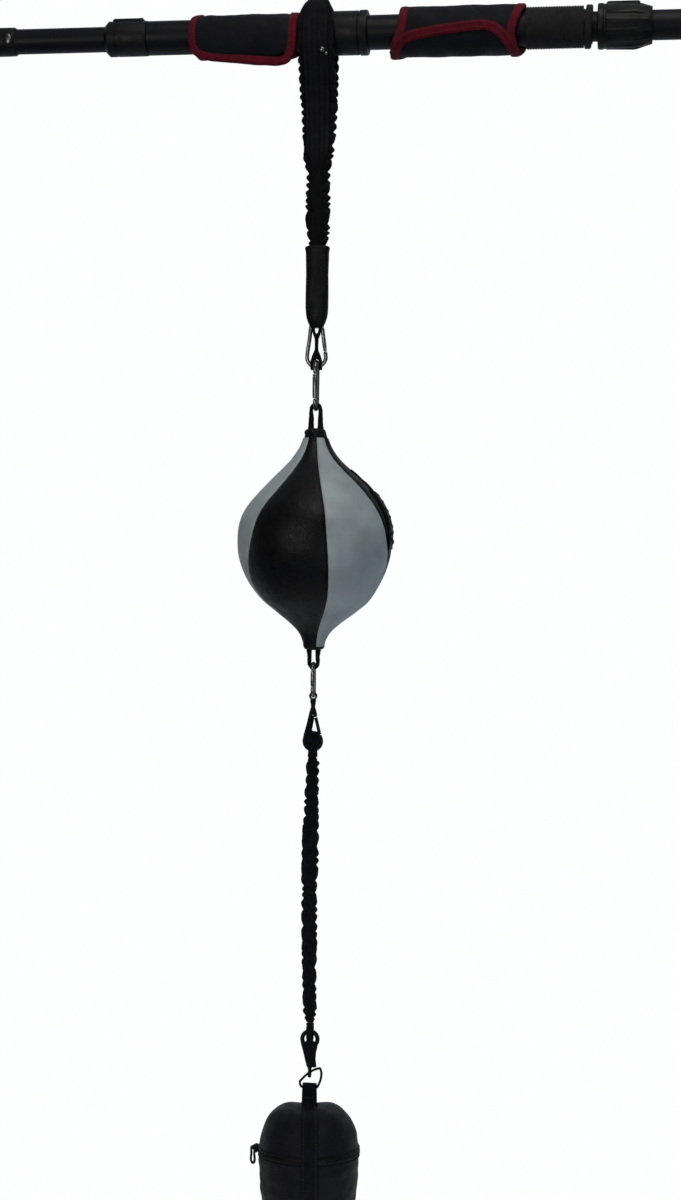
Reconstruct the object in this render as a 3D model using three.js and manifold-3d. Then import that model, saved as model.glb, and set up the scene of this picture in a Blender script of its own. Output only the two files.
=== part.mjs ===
// A hanging punch ball set: a telescopic doorway bar, a gathered elastic strap looped over it,
// snap hooks, a six-panel double-end ball, a lower elastic rope and a sand-filled weight bag.
//
// Millimetres, +Z up, the bar along X, the front towards -Y. Every part is drawn with X = 0 at
// the strap and Z = 0 on the bar's axis; the whole set then moves so that the origin is the
// centre of the left foot's outer face.
import * as THREE from "three";
import { mergeVertices } from "three/addons/utils/BufferGeometryUtils.js";
import Module from "manifold-3d";

const wasm = await Module();
wasm.setup();

// ---- shared sizes ----
const GAP = 0.35;
const TUBE_SIDES = 24;
const WIRE_SIDES = 8;

// ---- the bar ----
const FOOT_FACE_X = 470;
const PAD_THICKNESS = 7;
const PAD_RADIUS = 26;
const CUP_RADIUS = 24.5;
const CUP_LENGTH = 16;
const CUP_RIM = 6;
const SOCKET = { radius: 16.8, from: -446.3, to: -363.4 };
const RIGHT_SOCKET = { wall: 2.2, from: 424, to: 446.3 };
const LEFT_TUBE = { radius: 14.6, wall: 1.5, from: -440, to: -70 };
const BUSH_LENGTH = 40;
const MAIN_TUBE = { radius: 19.8, leftWall: 1.6, rightWall: 2.4, from: -203, to: 316 };
const COLLAR = { radius: 20.5, from: -253.6, to: -203.35, bevel: 4 };
const COLLAR_TAB = { length: 9, halfWidth: 5, height: 1.6, root: 2 };
const COUPLING = { radius: 25.3, from: -21.5, to: 57.7, flangeRadius: 25.9, flangeLength: 9.5 };
const COUPLING_GROOVE = { width: 1, depth: 0.8 };
const RIBBED_SLEEVE = { radius: 24, from: 240.3, to: 316, ribs: 9, ribDepth: 0.8 };
const SLEEVE_DISC = { radius: 24.8, thickness: 3, groove: 2, grooveDepth: 1.6 };
const LOCK_COLLAR = { radius: 26, from: 322, to: 384, taper: 18, lipRadius: 21.5, lip: 3 };
const LOCK_RIBS = { count: 8, height: 1, halfWidth: 2, inset: 6, gap: 4 };
const RIGHT_TUBE = { radius: 17, wall: 1.6, from: 130, to: 440 };
const BUTTON = { radius: 3.8, x: -369.6, proud: 1.4, length: 6 };

// ---- the two wrap-round grips, outline given by how far it stands above and below the axis ----
const GRIP_BORE = MAIN_TUBE.radius + GAP;
const GRIPS = [
  { name: "left_grip", from: -150.6, to: -22.2, top: 23, bottom: 37, front: 24 },
  { name: "right_grip", from: 86, to: 239.9, top: 25.5, bottom: 29.5, front: 26 },
];
const BINDING_WIDTH = 9;

// ---- the gathered strap ----
const STRAP = { halfWidth: 20.8, thickness: 6, bore: COUPLING.radius + 0.4, top: 40, foot: -78 };
// where the flat webbing runs down the front: [y, z, half width]
const STRAP_WEBBING = [
  [-34.2, -6, 14.5], [-33.5, -18, 14.5], [-21, -55, 14], [-11, -83, 13.8], [-8.6, -105, 13.6],
  [-8, -137, 13], [-7.8, -150, 6], [-7.6, -175, 5], [-7.4, -247, 5],
];
const STRAP_WEBBING_THICKNESS = 1.3;
const RIVET = { head: 2.4, base: 3, height: 1.4, lean: 18.7, x: 8, y: -32.8, z: -25.5 };
const UPPER_ELASTIC = { top: -78.35, bottom: -247 };
const SLEEVE = { top: -247.35, bottom: -338, halfWidth: 14, halfDepth: 10.5, cavityTop: -325 };
const SLEEVE_CAVITY = { halfWidth: 9.2, halfDepth: 5.6 };
const TETHER = { thickness: 1.3, loopHalfWidth: 6.7, thinHalfWidth: 1.9 };

// ---- snap hooks: wire radius, outer length, centre-line radii of the wide and narrow ends ----
const CARABINER_1 = { wire: 2.4, gate: 2.4, length: 60, wide: 11, narrow: 6, lowest: -390 };
const CARABINER_2 = { wire: 2.6, gate: 3.2, length: 60, wide: 8.5, narrow: 7, lowest: -439.5 };
const CARABINER_3 = { wire: 2.2, gate: 2.4, length: 42, wide: 6.5, narrow: 5.5, lowest: -773 };
const HOOK_4 = { wire: 2.8, gate: 2.4, length: 53, wide: 9.6, narrow: 4, lowest: -836 };
const HOOK_5 = { wire: 2.8, gate: 2.4, length: 44, wide: 8.7, narrow: 4, highest: -1159 };
const EYE_4 = { z: -771, hole: 3.4, radius: 5.4, thickness: 4 };
const EYE_5 = { z: -1210.8, hole: 3.1, radius: 4.7, thickness: 3.4 };

// ---- the ball: outer radius at each height, from its top mouth to its bottom mouth ----
const BALL_OUTLINE = [
  [15, -471], [18, -479], [27, -494], [40, -508], [54, -522], [67, -536], [78.5, -550],
  [86, -564], [89.6, -580], [90, -592], [89, -606], [85.5, -620], [80, -634], [73, -647],
  [63, -661], [46.5, -675], [27, -689], [20, -696], [15, -706],
];
const LEATHER = 3;
const BALL_SIDES = 30;
// the six seams, from the front towards +X; panels are black and grey in turn
const SEAMS_DEG = [-46.8, 17.4, 77.4, 136.5, 195.5, 254.5];
const LACE_DEG = SEAMS_DEG[2] + 7;
const BALL_COLLAR = { radius: 12.8, height: 9 };
const BALL_BOTTOM_COLLAR_Z = -706.35;

// ---- the lower elastic ----
const LOWER_ELASTIC = { top: -843.6, bottom: -1151.3 };

// ---- the weight bag ----
const RING = {
  wire: 1.1, barZ: -1222, corners: [[-10, -1222], [11, -1222], [16.5, -1201.3], [-11.8, -1217.5]],
};
const WEBBING = { halfWidth: 8.2, thickness: 1.5 };
const BAG_WALL = 1.6;
const BAG_RIM_Z = -1300;
const ZIP_HEIGHT = 6.5;
const BAG_OUTLINE = [
  [46, -1462], [51, -1459], [53.5, -1450], [54.2, -1400], [55.2, -1353], [57.2, -1337],
  [58.3, -1320], [58.6, BAG_RIM_Z - ZIP_HEIGHT / 2 - GAP],
];
const LID_OUTLINE = [
  [58.4, BAG_RIM_Z + ZIP_HEIGHT / 2 + GAP], [56.7, -1286], [53, -1272], [45.5, -1258],
  [39, -1251], [30, -1246.5], [16, -1244],
];
const SAND_TOP_Z = -1350;

// ---- colours ----
const BLACK_PAINT = [0x17181c, 0.45, 0.6];
const BLACK_PLASTIC = [0x131316, 0.55, 0];
const BLACK_RUBBER = [0x101011, 0.85, 0];
const BLACK_CLOTH = [0x0e0f13, 0.9, 0];
const DARK_FOAM = [0x14161b, 0.8, 0];
const CRIMSON = [0x5c1420, 0.75, 0];
const STEEL = [0xb4b6b8, 0.25, 1];
const BLACK_LEATHER = [0x111113, 0.5, 0];
const GREY_LEATHER = [0x737f86, 0.5, 0];
const RED_RUBBER = [0x7a2a24, 0.7, 0];
const SAND = [0xb49a6a, 0.95, 0];

const object = new THREE.Group();
object.name = "punch_ball_set";

// ---- building blocks ----

function closedGeometry(geometry) {
  const bare = geometry.clone();
  bare.deleteAttribute("normal");
  bare.deleteAttribute("uv");
  return mergeVertices(bare, 1e-4);
}

function toSolid(geometry) {
  const merged = closedGeometry(geometry);
  return new wasm.Manifold(
    new wasm.Mesh({
      numProp: 3,
      vertProperties: new Float32Array(merged.attributes.position.array),
      triVerts: new Uint32Array(merged.index.array),
    }),
  );
}

function toGeometry(solid) {
  const mesh = solid.getMesh();
  const geometry = new THREE.BufferGeometry();
  geometry.setAttribute("position", new THREE.BufferAttribute(mesh.vertProperties, 3));
  geometry.setIndex(new THREE.BufferAttribute(mesh.triVerts, 1));
  geometry.computeVertexNormals();
  return geometry;
}

function addPart(name, geometry, [color, roughness, metalness]) {
  const material = new THREE.MeshStandardMaterial({ color, roughness, metalness });
  const mesh = new THREE.Mesh(geometry, material);
  mesh.name = name;
  object.add(mesh);
}

function box(x0, x1, y0, y1, z0, z1) {
  return new THREE.BoxGeometry(x1 - x0, y1 - y0, z1 - z0).translate(
    (x0 + x1) / 2,
    (y0 + y1) / 2,
    (z0 + z1) / 2,
  );
}

function signedVolume(geometry) {
  const { position } = geometry.attributes;
  const faces = geometry.index.array;
  const corner = (i) => new THREE.Vector3().fromBufferAttribute(position, faces[i]);
  let sum = 0;
  for (let i = 0; i < faces.length; i += 3) {
    sum += corner(i).dot(corner(i + 1).cross(corner(i + 2)));
  }
  return sum;
}

// Turns every face outwards, whichever way the profile or the rings were listed.
function facingOut(geometry) {
  if (signedVolume(geometry) < 0) geometry.index.array.reverse();
  return geometry;
}

// A solid turned about Z from [radius, z] points. A ring's profile comes back to its start.
function turnedZ(profile, sides = TUBE_SIDES) {
  const points = profile.map(([radius, z]) => new THREE.Vector2(radius, z));
  return facingOut(closedGeometry(new THREE.LatheGeometry(points, sides).rotateX(Math.PI / 2)));
}

// A solid turned about X from [radius, x] points.
function turnedX(profile, sides = TUBE_SIDES) {
  return turnedZ(profile, sides).rotateY(Math.PI / 2);
}

// A hollow tube about X.
function tubeX(from, to, radius, bore) {
  return turnedX([[bore, to], [radius, to], [radius, from], [bore, from], [bore, to]]);
}

// A closed solid through equal-sized rings of points, capped at both ends or joined in a loop.
function loft(rings, looped = false) {
  const count = rings[0].length;
  const positions = rings.flat().flatMap((p) => [p.x, p.y, p.z]);
  const faces = [];
  const steps = looped ? rings.length : rings.length - 1;
  for (let r = 0; r < steps; r++) {
    const here = r * count;
    const there = ((r + 1) % rings.length) * count;
    for (let i = 0; i < count; i++) {
      const j = (i + 1) % count;
      faces.push(here + i, here + j, there + j, here + i, there + j, there + i);
    }
  }
  if (!looped) {
    const last = (rings.length - 1) * count;
    for (let i = 1; i < count - 1; i++) {
      faces.push(0, i + 1, i, last, last + i, last + i + 1);
    }
  }
  const geometry = new THREE.BufferGeometry();
  geometry.setAttribute("position", new THREE.Float32BufferAttribute(positions, 3));
  geometry.setIndex(faces);
  return facingOut(geometry);
}

// An upright solid through oval stations of [z, half width, half depth, y].
function ovalStack(stations, sides) {
  const ring = ([z, halfWidth, halfDepth, y = 0]) =>
    Array.from({ length: sides }, (_, i) => {
      const angle = (2 * Math.PI * i) / sides;
      return new THREE.Vector3(halfWidth * Math.cos(angle), y + halfDepth * Math.sin(angle), z);
    });
  return loft(stations.map(ring));
}

// A flat band along a path of [y, z, half width] points, its width along X.
function bandYZ(path, thickness) {
  return loft(
    path.map(([y, z, halfWidth], i) => {
      const before = path[Math.max(i - 1, 0)];
      const after = path[Math.min(i + 1, path.length - 1)];
      const along = new THREE.Vector2(after[0] - before[0], after[1] - before[1]).normalize();
      const out = new THREE.Vector2(-along.y, along.x).multiplyScalar(thickness / 2);
      return [
        new THREE.Vector3(-halfWidth, y + out.x, z + out.y),
        new THREE.Vector3(halfWidth, y + out.x, z + out.y),
        new THREE.Vector3(halfWidth, y - out.x, z - out.y),
        new THREE.Vector3(-halfWidth, y - out.x, z - out.y),
      ];
    }),
  );
}

function wireAlong(points, radius, steps, sides = WIRE_SIDES) {
  const shape = new THREE.Shape();
  for (let i = 0; i <= sides; i++) {
    const angle = (2 * Math.PI * i) / sides;
    shape[i ? "lineTo" : "moveTo"](radius * Math.cos(angle), radius * Math.sin(angle));
  }
  const curve = new THREE.CatmullRomCurve3(points, false, "centripetal");
  return new THREE.ExtrudeGeometry(shape, { steps, extrudePath: curve, bevelEnabled: false });
}

// A plate with the outline of [x, z] points, centred on Y = 0.
function plateXZ(outline, thickness, holes = []) {
  const wound = (points, clockwise) => {
    const vectors = points.map(([x, z]) => new THREE.Vector2(x, z));
    return THREE.ShapeUtils.isClockWise(vectors) === clockwise ? vectors : vectors.reverse();
  };
  const shape = new THREE.Shape(wound(outline, false));
  shape.holes = holes.map((hole) => new THREE.Path(wound(hole, true)));
  const plate = new THREE.ExtrudeGeometry(shape, { depth: thickness, bevelEnabled: false });
  return plate.rotateX(Math.PI / 2).translate(0, thickness / 2, 0);
}

function arcPoints(x, z, radius, fromDeg, toDeg, count) {
  return Array.from({ length: count + 1 }, (_, i) => {
    const angle = THREE.MathUtils.degToRad(fromDeg + ((toDeg - fromDeg) * i) / count);
    return [x + radius * Math.cos(angle), z + radius * Math.sin(angle)];
  });
}

// ---- the bar ----

function addFoot(side, face) {
  const inward = -Math.sign(face);
  const padInner = face + inward * PAD_THICKNESS;
  const cupFrom = padInner + inward * GAP;
  const cupTo = cupFrom + inward * CUP_LENGTH;
  const pad = [[0, padInner], [PAD_RADIUS, padInner], [PAD_RADIUS, face], [0, face]];
  addPart(side + "_foot_pad", turnedX(pad), BLACK_RUBBER);
  const neck = SOCKET.radius - 3;
  const cup = [[0, cupFrom], [CUP_RADIUS, cupFrom], [CUP_RADIUS, cupFrom + inward * CUP_RIM]];
  cup.push([neck, cupTo], [0, cupTo]);
  addPart(side + "_foot_cup", turnedX(cup), BLACK_PLASTIC);
}

function addLeftEnd() {
  addFoot("left", -FOOT_FACE_X);
  const bore = LEFT_TUBE.radius + GAP;
  const profile = [[0, SOCKET.from], [SOCKET.radius, SOCKET.from], [SOCKET.radius, SOCKET.to]];
  profile.push([bore, SOCKET.to], [bore, LEFT_TUBE.from - GAP], [0, LEFT_TUBE.from - GAP]);
  const holeLength = 30;
  const hole = new THREE.CylinderGeometry(BUTTON.radius + GAP, BUTTON.radius + GAP, holeLength, 12)
    .translate(BUTTON.x, -holeLength / 2, 0);
  const socket = toSolid(turnedX(profile)).subtract(toSolid(hole));
  addPart("left_end_socket", toGeometry(socket), BLACK_PLASTIC);

  const tube = tubeX(LEFT_TUBE.from, LEFT_TUBE.to, LEFT_TUBE.radius, LEFT_TUBE.radius - LEFT_TUBE.wall);
  addPart("left_inner_tube", toGeometry(toSolid(tube).subtract(toSolid(hole))), BLACK_PAINT);

  const face = -(SOCKET.radius + BUTTON.proud);
  const button = new THREE.CylinderGeometry(BUTTON.radius, BUTTON.radius, BUTTON.length, 12);
  addPart("spring_button", button.translate(BUTTON.x, face + BUTTON.length / 2, 0), STEEL);

  const bushOuter = MAIN_TUBE.radius - MAIN_TUBE.leftWall - GAP;
  const bush = tubeX(LEFT_TUBE.to - BUSH_LENGTH, LEFT_TUBE.to, bushOuter, bore);
  addPart("left_tube_bush", bush, BLACK_PLASTIC);
}

function addMainTubes() {
  const { radius, leftWall, rightWall, from, to } = MAIN_TUBE;
  addPart("main_tube_left", tubeX(from, -GAP / 2, radius, radius - leftWall), BLACK_PAINT);
  addPart("main_tube_right", tubeX(GAP / 2, to, radius, radius - rightWall), BLACK_PAINT);

  const bore = LEFT_TUBE.radius + GAP;
  const collar = [[bore, COLLAR.from], [COLLAR.radius - COLLAR.bevel, COLLAR.from]];
  collar.push([COLLAR.radius, COLLAR.from + COLLAR.bevel], [COLLAR.radius, COLLAR.to]);
  collar.push([bore, COLLAR.to], [bore, COLLAR.from]);
  const { length, halfWidth, height, root } = COLLAR_TAB;
  const tab = box(
    COLLAR.to - length, COLLAR.to, -halfWidth, halfWidth, COLLAR.radius - root, COLLAR.radius + height,
  );
  addPart("left_collar", toGeometry(toSolid(turnedX(collar)).add(toSolid(tab))), BLACK_PLASTIC);
}

function addCoupling() {
  const bore = MAIN_TUBE.radius + GAP;
  const flangeFrom = COUPLING.to - COUPLING.flangeLength;
  const profile = [[bore, COUPLING.from], [COUPLING.radius, COUPLING.from]];
  const grooveFrom = flangeFrom - COUPLING_GROOVE.width;
  const grooveRadius = COUPLING.radius - COUPLING_GROOVE.depth;
  profile.push([COUPLING.radius, grooveFrom], [grooveRadius, grooveFrom]);
  profile.push([grooveRadius, flangeFrom], [COUPLING.flangeRadius, flangeFrom]);
  profile.push([COUPLING.flangeRadius, COUPLING.to - 1], [COUPLING.radius - 1, COUPLING.to]);
  profile.push([bore, COUPLING.to], [bore, COUPLING.from]);
  addPart("centre_coupling", turnedX(profile), BLACK_PLASTIC);
}

function addRibbedSleeve() {
  const { radius, from, to, ribs, ribDepth } = RIBBED_SLEEVE;
  const bore = MAIN_TUBE.radius + GAP;
  const discFrom = to - SLEEVE_DISC.thickness;
  const pitch = (discFrom - SLEEVE_DISC.groove - from) / ribs;
  const profile = [[bore, from], [radius - ribDepth, from]];
  for (let i = 0; i < ribs; i++) {
    profile.push([radius, from + (i + 0.5) * pitch], [radius - ribDepth, from + (i + 1) * pitch]);
  }
  profile.push([radius - SLEEVE_DISC.grooveDepth, discFrom], [SLEEVE_DISC.radius, discFrom]);
  profile.push([SLEEVE_DISC.radius, to], [bore, to], [bore, from]);
  addPart("ribbed_sleeve", turnedX(profile), BLACK_PLASTIC);
}

function addLockCollar() {
  const { radius, from, to, taper, lipRadius, lip } = LOCK_COLLAR;
  const bore = RIGHT_TUBE.radius + GAP;
  const taperFrom = to - taper;
  const profile = [[bore, from], [radius - 1, from], [radius, from + 1.5], [radius, taperFrom]];
  profile.push([lipRadius, to - lip], [lipRadius, to], [bore, to], [bore, from]);
  let solid = toSolid(turnedX(profile));
  const { count, height, halfWidth, inset, gap } = LOCK_RIBS;
  for (let i = 0; i < count; i++) {
    const rib = box(
      from + inset, taperFrom - gap, -halfWidth, halfWidth, radius - 1.5 * height, radius + height,
    );
    rib.rotateX((2 * Math.PI * i) / count);
    solid = solid.add(toSolid(rib));
  }
  addPart("lock_collar", toGeometry(solid), BLACK_PLASTIC);
}

function addRightEnd() {
  const { radius, wall, from, to } = RIGHT_TUBE;
  addPart("right_inner_tube", tubeX(from, to, radius, radius - wall), BLACK_PAINT);
  const bore = radius + GAP;
  const outer = bore + RIGHT_SOCKET.wall;
  const profile = [[0, to + GAP], [bore, to + GAP], [bore, RIGHT_SOCKET.from]];
  profile.push([outer, RIGHT_SOCKET.from], [outer, RIGHT_SOCKET.to], [0, RIGHT_SOCKET.to]);
  addPart("right_end_socket", turnedX(profile), BLACK_PLASTIC);
  addFoot("right", FOOT_FACE_X);
}

// A padded mat wrapped round the tube, its loose edge hanging below, bound at ends and edge.
function addGrip({ name, from, to, top, bottom, front }) {
  const outline = arcPoints(0, 0, top, 0, 180, 12).map(([y, z]) => [(y * front) / top, z]);
  outline.push([-front, -8], [-front + 4, -bottom + 6], [-14, -bottom], [-8, -bottom]);
  outline.push([4, -top], [front - 4, -top * 0.75]);
  const shape = new THREE.Shape(outline.map(([y, z]) => new THREE.Vector2(y, z)));
  shape.holes.push(
    new THREE.Path(arcPoints(0, 0, GRIP_BORE, 0, -345, 23).map(([y, z]) => new THREE.Vector2(y, z))),
  );
  const length = to - from;
  const mat = new THREE.ExtrudeGeometry(shape, { depth: length, bevelEnabled: false })
    .rotateX(Math.PI / 2)
    .rotateZ(Math.PI / 2)
    .translate(from, 0, 0);
  const whole = toSolid(mat);
  const reach = 60;
  const seam = -bottom + BINDING_WIDTH;
  const padBlock = box(from + BINDING_WIDTH, to - BINDING_WIDTH, -reach, reach, seam, reach);
  const cutBlock = box(
    from + BINDING_WIDTH - GAP, to - BINDING_WIDTH + GAP, -reach, reach, seam - GAP, reach,
  );
  addPart(name + "_pad", toGeometry(whole.intersect(toSolid(padBlock))), DARK_FOAM);
  addPart(name + "_binding", toGeometry(whole.subtract(toSolid(cutBlock))), CRIMSON);
}

// ---- the gathered strap ----

function addStrapLoop() {
  const { halfWidth, thickness, bore, top, foot } = STRAP;
  const loopPath = (radius, crown, footY, footZ) => {
    const arc = arcPoints(0, 0, radius, -20, 200, 14).map(([y, z]) => [y, z > 0 ? (z * crown) / radius : z]);
    return [[footY, footZ], ...arc, [-footY, footZ]];
  };
  const outer = loopPath(bore + thickness, top, 6, foot);
  const inner = loopPath(bore, bore, 0.6, foot + 14);
  const loop = plateXZ(outer, 2 * halfWidth, [inner]).rotateZ(Math.PI / 2);
  // seen from the front the loop narrows where it is gathered over the bar and towards its foot
  const front = [[-20.5, foot], [-halfWidth, -20], [-halfWidth, 10], [-17.5, 24], [-11.5, top - 2]];
  front.push([-8, top + 1], [8, top + 1], [10.5, top - 3], [15, 24], [halfWidth, 10]);
  front.push([halfWidth, -20], [20.5, foot]);
  const gathered = toSolid(loop).intersect(toSolid(plateXZ(front, 200)));
  addPart("strap_loop", toGeometry(gathered), BLACK_CLOTH);
}

function addUpperElastic() {
  const { top, bottom } = UPPER_ELASTIC;
  const gathers = [[top, 20.5, 6], [-105, 19, 6.5], [-125, 17, 6], [-150, 15.5, 6], [-172, 12, 5.5]];
  gathers.push([-200, 11.5, 5.5], [-225, 12, 5.5], [bottom, 9.8, 5]);
  addPart("upper_elastic", ovalStack(gathers, 12), BLACK_CLOTH);
  addPart("strap_webbing", bandYZ(STRAP_WEBBING, STRAP_WEBBING_THICKNESS), BLACK_CLOTH);
  const rivet = new THREE.CylinderGeometry(RIVET.base, RIVET.head, RIVET.height, 12)
    .rotateX(THREE.MathUtils.degToRad(RIVET.lean))
    .translate(RIVET.x, RIVET.y, RIVET.z);
  addPart("strap_rivet", rivet, STEEL);
}

function addSleeve() {
  const { top, bottom, halfWidth, halfDepth, cavityTop } = SLEEVE;
  const stations = [[top, halfWidth - 1, 8.5], [top - 4, halfWidth, 9], [-300, halfWidth - 0.3, 9.5]];
  stations.push([-322, halfWidth - 0.6, halfDepth], [bottom, halfWidth - 2.5, halfDepth - 0.7]);
  const { halfWidth: wide, halfDepth: deep } = SLEEVE_CAVITY;
  const cavity = box(-wide, wide, -deep, deep, bottom - 5, cavityTop);
  const sleeve = toSolid(ovalStack(stations, 20)).subtract(toSolid(cavity));
  addPart("strap_sleeve", toGeometry(sleeve), BLACK_LEATHER);
}

// A thin loop from inside the sleeve that wraps the lowest wire of the first carabiner. Its slot
// lets the second carabiner through.
function addTether() {
  const wireZ = CARABINER_1.lowest + CARABINER_1.wire;
  const { thickness, loopHalfWidth, thinHalfWidth } = TETHER;
  const out = CARABINER_1.wire + GAP + thickness / 2;
  const ply = [[out, SLEEVE.cavityTop - GAP, 5], [out, -341, 4.5], [out, -353, thinHalfWidth]];
  ply.push([out, -368, thinHalfWidth], [out, -374, loopHalfWidth - 0.5], [out, wireZ, loopHalfWidth]);
  const under = arcPoints(0, wireZ, out, -25, -155, 6).map(([y, z]) => [y, z, loopHalfWidth]);
  const path = [...ply, ...under, ...ply.map(([y, z, w]) => [-y, z, w]).reverse()];
  const slotHalf = CARABINER_2.wire + GAP;
  const slot = box(-slotHalf, slotHalf, -20, 20, wireZ + 0.6, wireZ + 14);
  const loop = toSolid(bandYZ(path, thickness)).subtract(toSolid(slot));
  addPart("tether_loop", toGeometry(loop), BLACK_CLOTH);
}

// ---- snap hooks ----

// The centre line of a pear-shaped hook in the XZ plane, narrow end up, lowest outer point at 0.
function pear({ wire, length, wide, narrow }) {
  const spread = length - 2 * wire - wide - narrow;
  const tilt = THREE.MathUtils.radToDeg(Math.asin((wide - narrow) / spread));
  const wideZ = wire + wide;
  const narrowZ = wideZ + spread;
  const [x0, z0] = arcPoints(0, narrowZ, narrow, tilt, tilt, 1)[0];
  const [x1, z1] = arcPoints(0, wideZ, wide, tilt, tilt, 1)[0];
  const onLeg = (t) => [x0 + (x1 - x0) * t, z0 + (z1 - z0) * t];
  return { wideZ, narrowZ, tilt, onLeg, legLength: Math.hypot(x1 - x0, z1 - z0) };
}

const GATE_START = 0.12;
const GATE_END = 0.86;
const HINGE_GAP = 1;

function hookGeometry(hook) {
  const { wideZ, narrowZ, tilt, onLeg } = pear(hook);
  const path = [onLeg(GATE_END), onLeg(0.93), ...arcPoints(0, wideZ, hook.wide, tilt, -180 - tilt, 12)];
  const [legX, legZ] = onLeg(0.5);
  path.push([-legX, legZ], ...arcPoints(0, narrowZ, hook.narrow, 180 - tilt, tilt, 8));
  path.push(onLeg(GATE_START));
  return wireAlong(path.map(([x, z]) => new THREE.Vector3(x, 0, z)), hook.wire, 28);
}

function gateGeometry(hook) {
  const { onLeg, legLength } = pear(hook);
  const ends = [GATE_START + HINGE_GAP / legLength, GATE_END - GAP / legLength].map(onLeg);
  return wireAlong(ends.map(([x, z]) => new THREE.Vector3(x, 0, z)), hook.gate, 1);
}

// Places a hook's geometry. A hook "edge on" has its gate to the front and its wide end up.
function placeHook(geometry, hook, edgeOn) {
  if (!edgeOn) return geometry.translate(0, 0, hook.lowest);
  return geometry.rotateX(Math.PI).rotateZ(-Math.PI / 2).translate(0, 0, hook.lowest + hook.length);
}

function addCarabiner(name, hook, edgeOn) {
  addPart(name, placeHook(hookGeometry(hook), hook, edgeOn), STEEL);
  addPart(name + "_gate", placeHook(gateGeometry(hook), hook, edgeOn), STEEL);
}

function eyeSolid({ z, hole, radius, thickness }, alongX) {
  const eye = plateXZ(
    arcPoints(0, 0, radius, 0, 337.5, 15), thickness, [arcPoints(0, 0, hole, 0, -337.5, 15)],
  );
  if (alongX) eye.rotateZ(Math.PI / 2);
  return toSolid(eye.translate(0, 0, z));
}

function addElasticHooks() {
  const neck4 = box(-3, 3, -2, 2, HOOK_4.lowest + HOOK_4.length - 4, EYE_4.z - EYE_4.hole - 0.8);
  const ring4 = toSolid(placeHook(hookGeometry(HOOK_4), HOOK_4, false));
  const hook4 = ring4.add(toSolid(neck4)).add(eyeSolid(EYE_4, false));
  addPart("hook_4", toGeometry(hook4), BLACK_PAINT);
  addPart("hook_4_gate", placeHook(gateGeometry(HOOK_4), HOOK_4, false), BLACK_PAINT);

  const turned = (geometry) => geometry.rotateX(Math.PI).translate(0, 0, HOOK_5.highest);
  const narrowEnd = HOOK_5.highest - HOOK_5.length;
  const neck5 = box(-1.7, 1.7, -2.2, 2.2, EYE_5.z + EYE_5.hole + 0.8, narrowEnd + 3);
  const hook5 = toSolid(turned(hookGeometry(HOOK_5))).add(toSolid(neck5)).add(eyeSolid(EYE_5, true));
  addPart("hook_5", toGeometry(hook5), BLACK_PAINT);
  addPart("hook_5_gate", turned(gateGeometry(HOOK_5)), BLACK_PAINT);
}

// ---- the ball ----

function addBallPanels() {
  const inner = BALL_OUTLINE.filter((_, i) => i % 2 === 0).map(([r, z]) => [r - LEATHER, z]);
  const shell = toSolid(
    turnedZ([...inner, ...[...BALL_OUTLINE].reverse(), inner[0]], BALL_SIDES),
  );
  const reach = 200;
  SEAMS_DEG.forEach((seam, i) => {
    const next = SEAMS_DEG[i + 1] ?? SEAMS_DEG[0] + 360;
    const centreDeg = (seam + next) / 2 - 90;
    const half = THREE.MathUtils.degToRad((next - seam) / 2);
    const wedge = new THREE.Shape([
      new THREE.Vector2(GAP, 0),
      new THREE.Vector2(GAP + reach * Math.cos(half), -reach * Math.sin(half)),
      new THREE.Vector2(GAP + reach * Math.cos(half), reach * Math.sin(half)),
    ]);
    const block = new THREE.ExtrudeGeometry(wedge, { depth: 300, bevelEnabled: false })
      .rotateZ(THREE.MathUtils.degToRad(centreDeg))
      .translate(0, 0, -750);
    const material = i % 2 === 0 ? BLACK_LEATHER : GREY_LEATHER;
    addPart("ball_panel_" + (i + 1), toGeometry(shell.intersect(toSolid(block))), material);
  });
}

function addBladder() {
  const shrink = (offset) =>
    BALL_OUTLINE.slice(2, -2).filter((_, i) => i % 2 === 0).map(([r, z]) => [r - offset, z]);
  const outer = shrink(LEATHER + 1.2);
  const inner = shrink(LEATHER + 2.8);
  const mouth = 4;
  const topZ = outer[0][1];
  const lowZ = outer[outer.length - 1][1];
  const profile = [[mouth, topZ], ...outer, [0, lowZ], [0, lowZ + 2], ...[...inner].reverse()];
  profile.splice(-1, 1, [inner[0][0], topZ - 2], [mouth, topZ - 2], [mouth, topZ]);
  addPart("ball_bladder", turnedZ(profile, 18), RED_RUBBER);
}

// A narrow raised flap over the laced opening, beside the right-hand seam.
function addLaceFlap() {
  const azimuth = THREE.MathUtils.degToRad(LACE_DEG);
  const stations = [[-531, 62], [-541, 71], [-552, 80.6], [-564, 87], [-580, 90.9], [-600, 90.7]];
  const rings = stations.map(([z, radius], i) => {
    const last = i === 0 || i === stations.length - 1;
    const inner = radius + GAP + 0.4;
    const outer = inner + (last ? 1.5 : 3);
    const half = last ? 5 : 8;
    return [[inner, -half], [outer, -half * 0.6], [outer, half * 0.6], [inner, half]].map(
      ([r, side]) => new THREE.Vector3(r, side, z),
    );
  });
  addPart("ball_lace_flap", loft(rings).rotateZ(azimuth - Math.PI / 2), BLACK_LEATHER);
}

function collarGeometry(topZ) {
  const { radius, height } = BALL_COLLAR;
  const low = topZ - height;
  const profile = [[0, low], [radius - 3, low], [radius, low + 3], [radius - 0.5, topZ - 3]];
  return turnedZ([...profile, [radius - 3, topZ], [0, topZ]], 16);
}

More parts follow.
